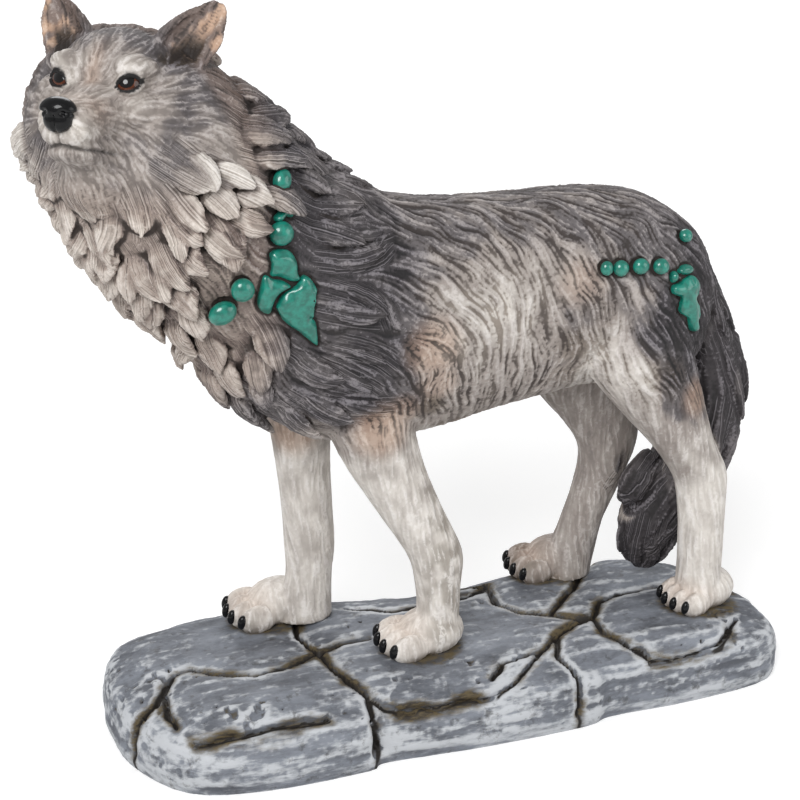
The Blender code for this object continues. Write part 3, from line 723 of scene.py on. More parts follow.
def hollowness(spots, normals, pairs, rounds):
    """How far each place lies below the mean of its surroundings."""
    return ((blurred(spots, pairs, rounds) - spots) * normals).sum(1)


def between(a, b, share):
    """Rows of a where the share is 0 and of b where it is 1."""
    return a * (1 - share[:, None]) + b * share[:, None]


def tangent(flow, normals):
    flow = flow - normals * (flow * normals).sum(1)[:, None]
    return flow / np.maximum(np.linalg.norm(flow, axis=1), 1e-6)[:, None]


def head_spots(spots):
    """The same places in the head's own frame."""
    back = np.array(TO_HEAD)
    return spots @ back[:3, :3].T + back[:3, 3]


def head_turned(vectors):
    return vectors @ np.array(HEAD)[:3, :3].T


def tree_of(points):
    tree = KDTree(len(points))
    for i, p in enumerate(points):
        tree.insert(p, i)
    tree.balance()
    return tree


def nearest_of(points, places):
    """For each place, which of the points lies nearest."""
    tree = tree_of(points)
    return np.array([tree.find(p)[1] for p in places])


def regions(spots):
    """How much each place belongs to the face, the mane, the legs and the tail, from 0 to 1."""
    x, y, z = spots.T
    local = head_spots(spots)
    face = ramp(local[:, 0], -7, -1) * ramp(local[:, 2], -30, -18)
    ears = ramp(local[:, 2], 7, 10) * ramp(np.abs(local[:, 1]), 8, 11) * ramp(local[:, 0], -16, -10)
    ears *= ramp(local[:, 0], 6, 2)
    axis = (x + 14) * -0.707 + (z - 100) * 0.707
    mane = ramp(axis, 22, 38) * ramp(x, -30, -44) * (1 - face)
    tail_x = np.interp(z, [7, 12, 22, 34, 48, 64, 80, 96, 109, 118], [69, 70, 73, 80, 85.5, 88.5, 86, 80, 73, 66])
    back = np.interp(z, [36, 48, 60, 74, 88, 100], [88.5, 88, 83, 79, 76, 77])
    tail = ramp(np.abs(x - tail_x), 13, 10.5) * ramp(y, 21, 18) * ramp(z, 116, 108)
    tail *= np.maximum(ramp(y, -5, -1.5), ramp(x, back, back + 2))
    tail *= ramp(x, 56, 62)
    tuft = np.sqrt(((x - 67) / 8.5) ** 2 + ((y - 9) / 7) ** 2 + ((z - 40) / 12.5) ** 2)
    tail = np.maximum(tail, ramp(tuft, 1.2, 1.0))
    leg = ramp(z, 84, 66) * (1 - tail)
    return {"face": face, "ears": ears, "mane": mane, "tail": tail, "leg": leg, "local": local}


# Places of the flank seen from the side: x, z and how far the fur slopes below the level, in degrees
FUR_SLOPES = [
    (-52, 140, 20), (-46, 122, 12), (-46, 100, 25), (-30, 148, 30), (-26, 126, 10), (-22, 106, 18), (-30, 86, 75),
    (-6, 138, 40), (-6, 121, 42), (-8, 104, 50), (-4, 88, 80), (10, 136, 42), (10, 119, 70), (12, 96, 88),
    (30, 134, 42), (30, 117, 72), (30, 100, 85), (44, 131, 50), (45, 114, 80), (48, 98, 82), (60, 125, 60),
    (65, 108, 60), (62, 92, 45), (72, 82, 55), (40, 86, 85), (76, 66, 80),
]


def slope_flow(spots):
    """The fur's direction on the flanks, blended between the listed slopes."""
    x, _, z = spots.T
    total = np.full(len(x), 1e-9)
    along = np.zeros((2, len(x)))
    for at, high, slope in FUR_SLOPES:
        weight = np.exp(-((x - at) ** 2 + (z - high) ** 2) / 13**2)
        total += weight
        along[0] += weight * math.cos(math.radians(slope))
        along[1] -= weight * math.sin(math.radians(slope))
    return np.stack([along[0] / total, np.zeros(len(x)), along[1] / total], 1)


def fur_flow(spots, normals, region):
    """Which way the fur lies at each place."""
    x, _, z = spots.T
    local = region["local"]
    nothing, ones = np.zeros(len(x)), np.ones(len(x))
    away = spots - np.array(MUZZLE)
    away /= np.linalg.norm(away, axis=1)[:, None]
    flow = between(away * 0.8 + np.array([0.2, 0, -0.75]), slope_flow(spots), ramp(x, -64, -44))
    flow = between(flow, np.stack([0.12 * ones, nothing, -ones], 1), region["leg"])
    tail_x = np.interp(z, [7, 22, 34, 48, 64, 80, 96, 118], [-0.2, -0.5, -0.55, -0.35, -0.05, 0.25, 0.5, 0.7])
    flow = between(flow, np.stack([tail_x, nothing, -ones], 1), region["tail"])
    face_flow = local - np.array([36, 0, -4])
    face_flow /= np.linalg.norm(face_flow, axis=1)[:, None]
    face_flow[:, 2] -= 0.35 * ramp(local[:, 2], -4, -14)
    flow = between(flow, head_turned(face_flow), region["face"])
    ear_flow = np.stack([-0.5 * ones, np.sign(local[:, 1]) * 0.4, ones], 1)
    flow = tangent(between(flow, head_turned(ear_flow), region["ears"]), normals)
    calm = np.maximum.reduce([region["face"], region["leg"], region["tail"]])
    return tangent(flow + noises(spots, 4.5, 1, 2, 3) * (0.75 - 0.5 * calm)[:, None], normals)


def near_spine(spots):
    """For each place, the nearest point on a lock's middle line, the way from it, and what is kept there."""
    spine, along, across, half, t = (np.array(column) for column in zip(*LOCK_SPINES))
    pick = nearest_of(spine, spots)
    return pick, spots - spine[pick], along[pick], across[pick], half[pick], t[pick]


def follow_locks(spots, normals, flow):
    """On a lock, the fur follows the lock, fans out and draws together again towards its tip."""
    _, offset, along, across, half, t = near_spine(spots)
    reach = np.linalg.norm(offset, axis=1)
    lateral = (offset * across).sum(1) / np.maximum(half, 0.5)
    led = along + across * (np.clip(lateral, -1, 1) * (0.5 - t))[:, None]
    weight = ramp(reach, 5.0, 3.0)
    return tangent(between(flow, led, weight), normals), ramp(reach, 10, 5), weight


def lock_lanes(spots):
    """How far aside of its lock's spine each place lies, told apart by lock, and 1 where it is on a lock."""
    pick, offset, _, across, _, _ = near_spine(spots)
    lane = (offset * across).sum(1) + LANE_SHIFT * (pick // (LOCK_STEPS + 1))
    return lane, ramp(np.linalg.norm(offset, axis=1), 5.5, 4)


def strand_sizes(region):
    """How far the strands run either way and how high they stand."""
    face, tail, mane, leg = region["face"], region["tail"], region["mane"], leg_only(region)
    reach = 4.6 - 2.4 * face - 1.6 * leg + 4 * tail + 0.6 * mane
    height = 0.52 - 0.28 * face - 0.4 * leg - 0.1 * tail - 0.08 * mane * (1 - face)
    return reach, height


def streaks(spots, flow, reach, widths):
    """Noise drawn out along the fur, reach millimetres either way, once for each width of strand."""
    low = spots.min(0) - 6
    shape = ((spots.max(0) + 6 - low) / STREAK_CELL).astype(int) + 1

    def cells(places):
        at = np.clip(((places - low) / STREAK_CELL).astype(int), 0, shape - 1)
        return (at[:, 0] * shape[1] + at[:, 1]) * shape[2] + at[:, 2]

    held = cells(spots)
    grid = np.stack([np.bincount(held, flow[:, i], shape.prod()) for i in range(3)], 1).reshape(*shape, 3)
    for axis in (0, 1, 2, 0, 1, 2):
        grid = grid + 0.5 * (np.roll(grid, 1, axis) + np.roll(grid, -1, axis))
    grid = grid.reshape(-1, 3)
    grid /= np.maximum(np.linalg.norm(grid, axis=1), 1e-9)[:, None]
    totals = [np.zeros(len(spots)) for _ in widths]
    for way in (1, -1):
        places = spots
        for k in range(STREAK_STEPS):
            places = places + grid[cells(places)] * (way * reach / STREAK_STEPS)[:, None]
            for i, width in enumerate(widths):
                totals[i] += (1 - (k / STREAK_STEPS) ** 2) * noise(places, width, 40 + i)
    return [total / total.std() for total in totals]


def leg_only(region):
    return region["leg"] * (1 - region["tail"])


def strands(spots, flow, region):
    """How high each place lies between the grooves of the fur, from 0 to 1, and how its tuft stands out."""
    fine, plain, wide, tuft = streaks(spots, flow, strand_sizes(region)[0], STRAND_WIDTHS)
    short = np.maximum.reduce([region["face"], leg_only(region), 0.45 * region["mane"]])
    broad = region["tail"]
    mixed = plain * (1 - short) * (1 - broad) + fine * short + wide * broad
    return 0.5 + 0.5 * np.tanh(0.95 * mixed), np.tanh(tuft)


# Face

def eye_frame(side):
    """An eye's centre in the wolf's frame, and its axes ahead, to the outer corner and up."""
    turn = HEAD.to_3x3()
    ahead = Vector((0.9, 0.42 * side, 0.1)).normalized()
    up = Vector((0, 0, 1))
    tilt = math.radians(EYE_TILT)
    outer = flat((up.cross(ahead) * side).normalized() * math.cos(tilt) + up * math.sin(tilt), ahead)
    top = ahead.cross(outer) * side
    return [np.array(v) for v in (HEAD @ eye_at(side), turn @ ahead, turn @ outer, turn @ top)]


def in_front(spots, side, beyond):
    """Which places lie before an eye's middle and no further than that outside its ball."""
    centre, ahead, _, _ = eye_frame(side)
    offset = spots - centre
    return (np.linalg.norm(offset, axis=1) < EYE_RADIUS + beyond) & (offset @ ahead > 0.5)


def lids(spots, side):
    """Seen from an eye's middle: the distance, the direction, the way aside and up, and the lids' half opening."""
    centre, _, outer, top = eye_frame(side)
    offset = spots - centre
    reach = np.linalg.norm(offset, axis=1)
    away = offset / np.maximum(reach, 1e-6)[:, None]
    a, b = away @ outer * EYE_RADIUS, away @ top * EYE_RADIUS
    edge = np.where(b > 0, EYE_UPPER, EYE_LOWER) * np.clip(1 - (a / EYE_HALF_WIDTH) ** 2, 0, None) ** 0.8
    return reach, away, a, b, edge


def open_eyes(spots):
    """Raises lids round each eye and sinks the skin inside them, behind the eyeball."""
    for side in (1, -1):
        close = np.flatnonzero(in_front(spots, side, 4))
        reach, away, a, b, edge = lids(spots[close], side)
        inside = ramp(edge - np.abs(b), -0.15, 0.25) * (np.abs(a) < EYE_HALF_WIDTH)
        rim = ramp(np.abs(b) - edge, 2.6, 0.0) * ramp(np.abs(a), EYE_HALF_WIDTH + 2.2, EYE_HALF_WIDTH)
        raised = reach * (1 - rim) + (EYE_RADIUS + LID_THICKNESS) * rim
        fresh = raised * (1 - inside) + (EYE_RADIUS - SOCKET_DEPTH) * inside
        spots[close] = eye_frame(side)[0] + away * fresh[:, None]
    return spots


def shape_mouth(spots, normals, local):
    """Presses in the line of the lips and the groove under the nose."""
    x, y, z = local.T
    corner = np.clip((30.5 - x) / 15, 0, 1.2)
    lip = -12.9 - 1.7 * corner**1.5 + 0.5 * np.exp(-(y / 2.5) ** 2)
    near = np.exp(-((z - lip) / 0.5) ** 2) * ramp(x, 13, 16) * (np.abs(y) < 12)
    groove = np.exp(-(y / 0.45) ** 2) * ramp(z, -12.5, -11.5) * ramp(z, -7, -9) * (x > 29)
    depth = 0.9 * near + 0.35 * groove
    return spots - normals * depth[:, None], np.clip(near + 0.4 * groove, 0, 1)


# Pieces

def store(mesh, name, values):
    """Keeps a number for each point of the mesh, for its material."""
    layer = mesh.attributes.new(name, "FLOAT", "POINT")
    layer.data.foreach_set("value", np.ascontiguousarray(values, dtype=np.float32))


def piece(name, mesh, material):
    """Adds a finished piece that stands for the cast solid."""
    obj = added(name, mesh)
    mesh.materials.clear()
    mesh.materials.append(material)
    mesh.shade_smooth()
    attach(obj, "root")
    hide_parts("wolf_figurine")


def lifted(spots):
    """From the wolf's frame in millimetres to the scene's in metres."""
    return (spots + np.array([0, 0, BASE_THICKNESS])) * MM


def lifted_piece(name, mesh, spots, material):
    """A piece from a mesh in the wolf's frame, its points moved to spots first."""
    set_spots(mesh, lifted(spots))
    piece(name, mesh, material)


def part_of(mesh, spots, normals, values, keep, name, material):
    """The faces of the mesh whose number is in keep, as a piece of its own with its points' values."""
    used, fresh = np.unique(corner_rows(mesh.polygons, 3)[keep], return_inverse=True)
    fresh = fresh.reshape(-1, 3)
    made = bpy.data.meshes.new(name)
    made.vertices.add(len(used))
    made.vertices.foreach_set("co", lifted(spots[used]).ravel())
    made.loops.add(fresh.size)
    made.loops.foreach_set("vertex_index", fresh.ravel().astype(np.int32))
    made.polygons.add(len(fresh))
    made.polygons.foreach_set("loop_start", np.arange(len(fresh), dtype=np.int32) * 3)
    made.update(calc_edges=True)
    for key, value in values.items():
        store(made, key, value[used])
    piece(name, made, material)
    made.normals_split_custom_set_from_vertices(normals[used])


# Materials

class Nodes:
    """A material's node tree, with short calls for the nodes that repeat; three numbers are a colour as seen."""

    def __init__(self, name):
        self.material = bpy.data.materials.new(name)
        self.material.use_nodes = True
        self.tree = self.material.node_tree
        self.shader = self.tree.nodes["Principled BSDF"]

    def new(self, kind, settings=None, **inputs):
        node = self.tree.nodes.new(kind)
        for key, value in (settings or {}).items():
            setattr(node, key, value)
        for key, value in inputs.items():
            self.put(node.inputs[key.replace("_", " ")], value)
        return node

    def put(self, socket, value):
        if isinstance(value, bpy.types.NodeSocket):
            self.tree.links.new(value, socket)
        elif isinstance(value, tuple) and len(value) == 3 and socket.type == "RGBA":
            socket.default_value = (*srgb(*value), 1)
        else:
            socket.default_value = value

    def value(self, name):
        return self.new("ShaderNodeAttribute", {"attribute_name": name}).outputs["Fac"]

    def place(self):
        return self.new("ShaderNodeTexCoord").outputs["Object"]

    def noise(self, scale, detail=3.0, roughness=0.6, vector=None):
        node = self.new("ShaderNodeTexNoise", Scale=scale, Detail=detail, Roughness=roughness,
                        Vector=vector or self.place())
        return node.outputs["Fac"]

    def math(self, operation, a, b):
        node = self.new("ShaderNodeMath", {"operation": operation})
        self.put(node.inputs[0], a)
        self.put(node.inputs[1], b)
        return node.outputs[0]

    def times(self, a, b):
        return self.math("MULTIPLY", a, b)

    def plus(self, a, b):
        return self.math("ADD", a, b)

    def spread(self, value, amount):
        """The value's distance from one half, that many times."""
        return self.times(self.math("SUBTRACT", value, 0.5), amount)

    def rise(self, value, low, high, to_low=0.0, to_high=1.0):
        node = self.new("ShaderNodeMapRange", {"interpolation_type": "SMOOTHSTEP"}, Value=value)
        for key, number in zip(("From Min", "From Max", "To Min", "To Max"), (low, high, to_low, to_high)):
            node.inputs[key].default_value = number
        return node.outputs["Result"]

    def mix(self, factor, a, b):
        node = self.new("ShaderNodeMix", {"data_type": "RGBA"})
        self.put(node.inputs["Factor"], factor)
        self.put(node.inputs[6], a)
        self.put(node.inputs[7], b)
        return node.outputs[2]

    def bump(self, height, distance, strength):
        return self.new("ShaderNodeBump", Height=height, Distance=distance, Strength=strength).outputs["Normal"]

    def finish(self, **inputs):
        for key, value in inputs.items():
            self.put(self.shader.inputs[key.replace("_", " ")], value)
        return self.material


def toned(n, tone, stops):
    """A colour for each tone from 0, the darkest paint, to 1, the palest."""
    colour = stops[0][1]
    for (low, _), (high, paint) in zip(stops, stops[1:]):
        colour = n.mix(n.rise(tone, low, high), colour, paint)
    return colour


def fur_material():
    """Matt paint: charcoal to cream fur, tan tints, dark paint in the grooves, pale brush on the ridges, and dark
    brown in the hollows that is partly paint and partly painted shade.
    """
    n = Nodes("painted_fur")
    mottle = n.noise(160, 4, 0.65)
    fine = n.noise(1300, 2, 0.6)
    tone = n.plus(n.value("tone"), n.plus(n.spread(mottle, 0.3), n.spread(n.value("strand"), 0.14)))
    colour = toned(n, tone, [(0.0, (58, 54, 57)), (0.3, (100, 95, 96)), (0.6, (158, 149, 143)),
                             (1.0, (222, 216, 209))])
    dark = toned(n, tone, [(0.0, (20, 18, 20)), (0.5, (56, 47, 43)), (1.0, (152, 141, 130))])
    light = toned(n, tone, [(0.0, (150, 145, 150)), (0.5, (196, 188, 184)), (1.0, (244, 240, 236))])
    tan = n.value("tan")
    colour = n.mix(n.times(tan, 0.6), colour, (206, 164, 132))
    light = n.mix(n.times(tan, 0.6), light, (240, 208, 178))
    colour = n.mix(n.times(n.value("brown"), 0.75), colour, (92, 78, 60))
    ridge = n.value("ridge")
    groove = n.times(n.rise(ridge, 0.5, 0.06), n.value("inked"))
    colour = n.mix(n.times(groove, 0.9), colour, dark)
    hairs = n.new("ShaderNodeTexNoise", {"noise_dimensions": "1D"}, W=n.value("lane"), Scale=2.3, Detail=3.0,
                  Roughness=0.65).outputs["Fac"]
    held = n.value("held")
    thin = n.times(n.rise(hairs, 0.5, 0.36), held)
    colour = n.mix(n.times(thin, 0.7), colour, dark)
    brushed = n.times(n.rise(ridge, 0.66, 0.96), n.rise(fine, 0.25, 0.55))
    brushed = n.math("MAXIMUM", brushed, n.times(n.rise(hairs, 0.54, 0.68), held))
    colour = n.mix(n.times(brushed, 0.6), colour, light)
    # Dark brown in the hollows between locks, deep in the ears and round the beads: partly washed-in paint, partly
    # painted shade
    colour = n.mix(n.rise(n.value("wash_and_shade"), 0.1, 0.9), colour, n.mix(0.5, dark, (44, 33, 27)))
    colour = n.mix(n.value("black"), colour, (16, 13, 13))
    normal = n.bump(n.plus(ridge, n.times(fine, 0.3)), 0.0003, 0.5)
    return n.finish(Base_Color=colour, Roughness=n.rise(fine, 0, 1, 0.62, 0.82), Normal=normal)


def stone_material():
    """Blue-grey stone with dark cracks, olive soil along the cracks, painted shade in the hollows, darker round the
    paws, and white dragged along over the high places.
    """
    n = Nodes("painted_stone")
    place = n.place()
    stretched = n.new("ShaderNodeMapping", Vector=place, Scale=(0.5, 1.0, 1.6)).outputs[0]
    dragged = n.new("ShaderNodeMapping", Vector=place, Rotation=(0, 0, 0.25), Scale=(0.22, 1.0, 1.4)).outputs[0]
    mottle = n.noise(95, 6, 0.72, stretched)
    fine = n.noise(520, 4, 0.65, stretched)
    drag = n.noise(330, 5, 0.72, dragged)
    colour = n.mix(n.rise(mottle, 0.3, 0.7), (84, 87, 94), (134, 139, 148))
    brush = n.plus(n.times(n.value("high"), 0.8), n.plus(n.times(drag, 0.8), n.times(fine, 0.6)))
    colour = n.mix(n.times(n.rise(brush, 0.92, 1.3), 0.85), colour, (204, 207, 211))
    colour = n.mix(n.times(n.rise(n.noise(240, 5, 0.7), 0.45, 0.3), 0.6), colour, (60, 58, 56))
    soil = n.mix(n.rise(fine, 0.4, 0.6), (44, 37, 28), (92, 80, 56))
    # Olive brown along the cracks as paint, darker round the paws, and in the hollows as painted shade
    colour = n.mix(n.rise(n.plus(n.value("dirt_and_shade"), n.spread(fine, 0.6)), 0.3, 0.8), colour, soil)
    # Near-black painted shade down in the cracks and the deepest hollows
    colour = n.mix(n.rise(n.value("deep"), 0.35, 0.85), colour, (24, 18, 12))
    normal = n.bump(fine, 0.0004, 0.6)
    return n.finish(Base_Color=colour, Roughness=n.rise(fine, 0.3, 0.7, 0.55, 0.8), Normal=normal)


def bead_material():
    n = Nodes("turquoise_paint")
    mottle = n.noise(500, 3, 0.6)
    colour = n.mix(n.rise(mottle, 0.3, 0.7), (12, 102, 88), (28, 138, 120))
    normal = n.bump(n.noise(260, 2, 0.5), 0.0004, 0.35)
    return n.finish(Base_Color=colour, Roughness=0.28, Normal=normal, Coat_Weight=0.8, Coat_Roughness=0.06)


def black_material():
    n = Nodes("gloss_black")
    fine = n.noise(900, 3, 0.6)
    colour = n.mix(fine, (5, 5, 6), (17, 17, 19))
    normal = n.bump(n.noise(700, 2, 0.6), 0.0003, 0.35)
    return n.finish(Base_Color=colour, Roughness=0.22, Normal=normal, Specular_IOR_Level=0.2,
                    Coat_Weight=0.3, Coat_Roughness=0.08)


def eye_material():
    """A black pupil in an amber iris that darkens to its rim, under gloss."""
    n = Nodes("amber_eye")
    out = n.value("from_pupil")
    grain = n.noise(1500, 2, 0.5)
    iris = n.mix(n.rise(n.plus(out, n.times(grain, 0.2)), 0.45, 0.8),
                 (122, 58, 20), (52, 22, 10))
    # A wide pupil, set high by the gaze, darkens the eye's upper half: partly paint, partly painted shade under the
    # lid
    colour = n.mix(n.rise(out, 0.47, 0.54), (4, 3, 3), iris)
    colour = n.mix(n.rise(out, 0.76, 0.88), colour, (12, 9, 8))
    return n.finish(Base_Color=colour, Roughness=0.15, Specular_IOR_Level=0.25, Coat_Weight=0.7,
                    Coat_Roughness=0.03)


# Building the wolf

def spot_mask(spots, blobs):
    """The strongest of some soft round patches, each with a centre, a radius and a strength."""
    total = np.zeros(len(spots))
    for x, y, z, radius, strength in blobs:
        away = np.linalg.norm(spots - np.array([x, y, z]), axis=1)
        total = np.maximum(total, ramp(away, radius, radius * 0.3) * strength)
    return total


def blended(rows, *places):
    """Between given rows of a place and a value, the value weighted by nearness over the rows' reach."""
    total = np.full(len(places[0]), 1e-9)
    value = np.zeros(len(places[0]))
    for *at, reach, amount in rows:
        away = sum((place - a) ** 2 for place, a in zip(places, at))
        weight = np.exp(-away / reach**2)
        total += weight
        value += weight * amount
    return value / total


# How pale the paint is on the flanks: x, z, reach and tone from 0, charcoal, to 1, off-white; the greyer rows of
# the far rear leg, at x 48 to 60, are partly paint and partly painted shade
BODY_TONES = [
    (-6, 139, 9, 0.38), (16, 137, 9, 0.38), (44, 134, 9, 0.4), (62, 127, 9, 0.28), (-30, 148, 9, 0.26),
    (-46, 146, 9, 0.04), (-39, 139, 9, 0.0), (-25, 131, 9, 0.05), (-20, 119, 9, 0.06), (-2, 131, 8, 0.28),
    (16, 130, 7, 0.34), (34, 130, 8, 0.36), (-48, 114, 10, 0.12), (-17, 108, 7, 0.12), (-59, 90, 10, 0.3),
    (-47, 92, 9, 0.1), (-31, 91, 9, 0.04), (-20, 90, 6, 0.2), (-6, 119, 7, 0.7), (11, 121, 8, 0.78),
    (27, 120, 8, 0.74), (11, 106, 10, 0.8), (-5, 106, 7, 0.76), (-8, 93, 7, 0.55), (12, 90, 9, 0.62),
    (25, 97, 8, 0.58), (36, 102, 6, 0.36), (38, 113, 7, 0.48), (45, 97, 6, 0.76), (51, 86, 8, 0.8),
    (51, 106, 6, 0.5), (60, 99, 7, 0.0), (69, 88, 7, 0.0), (71, 97, 7, -0.05), (72, 76, 6, 0.34),
    (74, 60, 8, 0.78), (78, 40, 9, 0.94), (80, 15, 10, 0.92), (-24, 76, 8, 0.66), (-16, 60, 9, 0.84),
    (-8, 40, 9, 0.92), (-6, 15, 10, 0.92), (-40, 75, 8, 0.68), (-38, 55, 9, 0.94), (-38, 25, 12, 0.94),
    (48, 70, 9, 0.66), (60, 50, 9, 0.62), (50, 15, 12, 0.68), (76, 124, 8, 0.1), (-75, 115, 14, 0.52),
    (-62, 128, 8, 0.45), (-70, 145, 10, 0.54), (-90, 140, 14, 0.58), (-66, 105, 9, 0.48),
]
# The same on the head, in its own frame: ahead, aside, up, reach and tone
FACE_TONES = [
    (14, 8.5, 9, 5, 0.76), (16, 0, 8, 4, 0.6), (24, 0, 1, 5, 0.66), (31, 0, -1, 4, 0.72), (22, 7, -5, 5, 0.55),
    (29, 5, -8, 4, 0.85), (14, 12, -4, 5, 0.72), (9, 15, 1, 5, 0.6), (8, 16, -10, 7, 0.38), (2, 20, -2, 6, 0.34),
    (3, 0, 15, 7, 0.34), (8, 5, 13, 4, 0.46), (0, 11, 12, 6, 0.28), (-8, 0, 14, 9, 0.2), (27, 0, -15, 5, 0.6),
    (18, 6, -17, 6, 0.56), (8, 8, -22, 8, 0.58), (0, 22, -14, 8, 0.62), (-6, 24, 2, 7, 0.3), (-4, 15, 10, 5, 0.2),
]


# Spots of tan, of brown and of mud on the paws: x, y, z, radius and strength
TAN_SPOTS = [(-9, -16, 103, 12, 0.5), (-8, -14, 92, 9, 0.35), (-24, -14, 79, 12, 0.6), (-43, 12, 70, 11, 0.6),
             (73, -14, 76, 8, 0.5), (-18, -14, 84, 8, 0.4), (36, -14, 116, 10, 0.3), (-88, -18, 150, 9, 0.25)]
BROWN_SPOTS = [(36, -14, 96, 10, 0.7), (34, -12, 84, 9, 0.7), (42, -14, 106, 8, 0.35), (-9, -13, 84, 6, 0.8),
               (62, -16, 84, 10, 0.35)]
MUD_SPOTS = [(-57, 17, 3, 9, 0.9), (-47, 16, 2, 9, 1.0), (-38, 16, 1, 7, 0.9), (34, 18, 3, 8, 0.8)]


def paint_masks(spots, normals, region):
    """How pale the paint is at each place, and where it is tan, brown and in an ear's hollow, which is darkened as
    painted shade.
    """
    x, y, z = spots.T
    lx, ly, lz = region["local"].T
    rough = noises(spots, 5, 5, 8).T * 3
    body = blended(BODY_TONES, x + rough[0], z + rough[1])
    face = blended(FACE_TONES, lx + rough[0] * 0.3, np.abs(ly), lz + rough[1] * 0.3)
    near_head = ramp(lx, -16, -4) * ramp(lz, -34, -24)
    tone = body * (1 - near_head) + face * near_head
    nape = ramp(normals[:, 0] * 0.75 + normals[:, 2] * 0.66 + noise(spots, 8, 6) * 0.2, 0.1, 0.6)
    tone = tone * (1 - 0.85 * nape * ramp(x, -34, -44) * (1 - near_head) * ramp(z, 100, 120))
    # Leg faces that turn in towards the middle are painted a little darker: partly paint, partly painted shade
    # between the legs
    inner = ramp((y - WOLF_Y) * normals[:, 1], 1, -3) * region["leg"]
    tone = tone * (1 - 0.06 * inner)
    streak = ramp(noise(spots * [1, 1, 0.2], 3.5, 9), 0.25, 0.8)
    tail_tone = 0.14 * ramp(z, 70, 45) * ramp(z, 20, 45) + 0.2 * streak - 0.05
    tone = tone * (1 - region["tail"]) + region["tail"] * tail_tone
    ears = region["ears"]
    inside = ears * ramp(normals @ np.array(HEAD.to_3x3() @ Vector((1, 0, 0))), 0.0, 0.4)
    _, middles, heights, widths, _ = zip(*EAR_ROWS)
    outer = (np.abs(ly) - np.interp(lz, heights, middles)) / np.interp(lz, heights, widths)
    rake = noise(spots * [1, 1, 0.35], 1.6, 16)
    flame = ramp(outer + 0.25 * noise(spots, 3, 10) + 0.3 * rake, -0.4, 0.1) * ramp(lz + 2 * rake, 9, 14)
    # Painted shade deep in each ear's hollow: it lowers the tone, keeps the tan out, and adds to the brown and to
    # the dark of the hollows
    cup = inside * ramp(outer, 0.7, 0.4) * ramp(lz, 18, 11) * ramp(outer, -0.5, -0.1)
    tone = tone * (1 - ears) + ears * (0.22 + inside * flame * (0.2 + 0.3 * ramp(rake, -0.2, 0.5)))
    flame = flame * (1 - cup)
    tone = tone - 0.5 * cup
    tan = spot_mask(spots, TAN_SPOTS)
    paws = spot_mask(spots, [(px - 4, py, 6, 12, 0.4) for px, py, _, _ in PAWS])
    brow = 0.4 * np.exp(-((ly / 2.2) ** 2 + ((lx - 16) / 6) ** 2)) * ramp(lz, 0, 4)
    muzzle = 0.3 * np.exp(-(((lx - 26) / 6) ** 2 + ((lz + 3) / 4) ** 2))
    cream = 0.22 * region["mane"] * ramp(x, -48, -60)
    tan = np.maximum.reduce([tan, paws, brow, muzzle, inside * flame * (0.3 + 0.8 * ramp(rake, -0.4, 0.3)), cream])
    belly = 0.7 * ramp(z, 79, 74) * ramp(x, -14, -6) * ramp(x, 44, 34) * ramp(noise(spots, 3, 14), -0.3, 0.5)
    ground = 0.9 * ramp(z, 6.5, 3.8) * ramp(noise(spots, 5, 15), -0.5, 0.3)
    mud = spot_mask(spots, MUD_SPOTS) * ramp(noise(spots, 2.5, 17), -0.6, 0.4)
    brown = np.maximum.reduce([spot_mask(spots, BROWN_SPOTS), cup, belly, ground, mud])
    return {"tone": np.clip(tone, 0, 1), "tan": tan, "brown": brown, "cup": 0.8 * cup}


def bead_recess(spots, stones):
    """1 close round the beads, where the fur is sunk and painted dark: partly washed-in paint, partly painted shade
    between bead and fur.
    """
    close = np.zeros(len(spots), bool)
    for centre, radius in BEADS_SEEN:
        close |= np.linalg.norm(spots - np.array(centre), axis=1) < radius + 4
    tree = tree_of(stones)
    mask = np.zeros(len(spots))
    mask[close] = ramp(np.array([tree.find(p)[2] for p in spots[close]]), 1.3, 0.5)
    return mask


def thinned(mesh, spots, values):
    """The mesh with fewer triangles where it is smooth, and each remaining point's values from the nearest."""
    ratio = FUR_TRIANGLES / (2 * len(mesh.polygons))
    few = modified(mesh, ("DECIMATE", {"ratio": ratio, "use_collapse_triangulate": True}))
    pick = nearest_of(spots, mesh_arrays(few)[0])
    return few, {key: value[pick] for key, value in values.items()}


def carved(mesh, stone_spots):
    """Lays the relief of the fur and the face on the fused mesh, and returns what the paint needs of it."""
    spots, normals = mesh_arrays(mesh)
    pairs = corner_rows(mesh.edges, 2)
    region = regions(spots)
    flow, near_lock, held = follow_locks(spots, normals, fur_flow(spots, normals, region))
    ahead, aside, up = region["local"].T
    cheek = held * ramp(ahead, -10, -6) * ramp(up, -1, -6)
    region["mane"] = np.maximum(region["mane"], cheek)
    region["face"] = region["face"] * (1 - cheek)
    hollow = hollowness(spots, normals, pairs, 40) * near_lock
    hollow *= 1 - ramp(ahead, 6, 11) * ramp(up, -34, -26)
    spots = spots - normals * (np.clip(hollow, -0.3, 1.2) * (LOCK_BOOST + 0.4 * region["mane"]))[:, None]
    chin = ramp(up, -15.2, -18) * ramp(up, -46, -34) * ramp(ahead, -1, 7)
    spots = open_eyes(softened(spots, pairs, chin * ramp(np.abs(aside), 23, 15), 300))
    spots, lips = shape_mouth(spots, normals, region["local"])
    ridge, tuft = strands(spots, flow, region)
    height = strand_sizes(region)[1]
    recess = bead_recess(spots, stone_spots)
    plump = 0.1 + 0.35 * region["tail"] + 0.2 * region["mane"]
    short = np.maximum(region["face"], leg_only(region))
    relief = (ridge - 0.6) * height + tuft * plump * (1 - short)
    spots = spots + normals * (relief * (1 - eye_mask(spots)) - 0.5 * recess)[:, None]
    set_spots(mesh, spots)
    return {"ridge": ridge, "strand": tuft * 0.5 + 0.5, "inked": np.clip(height / 0.5, 0.2, 1), "lips": lips,
            "hollow": hollow, "recess": recess, "cheek": cheek}


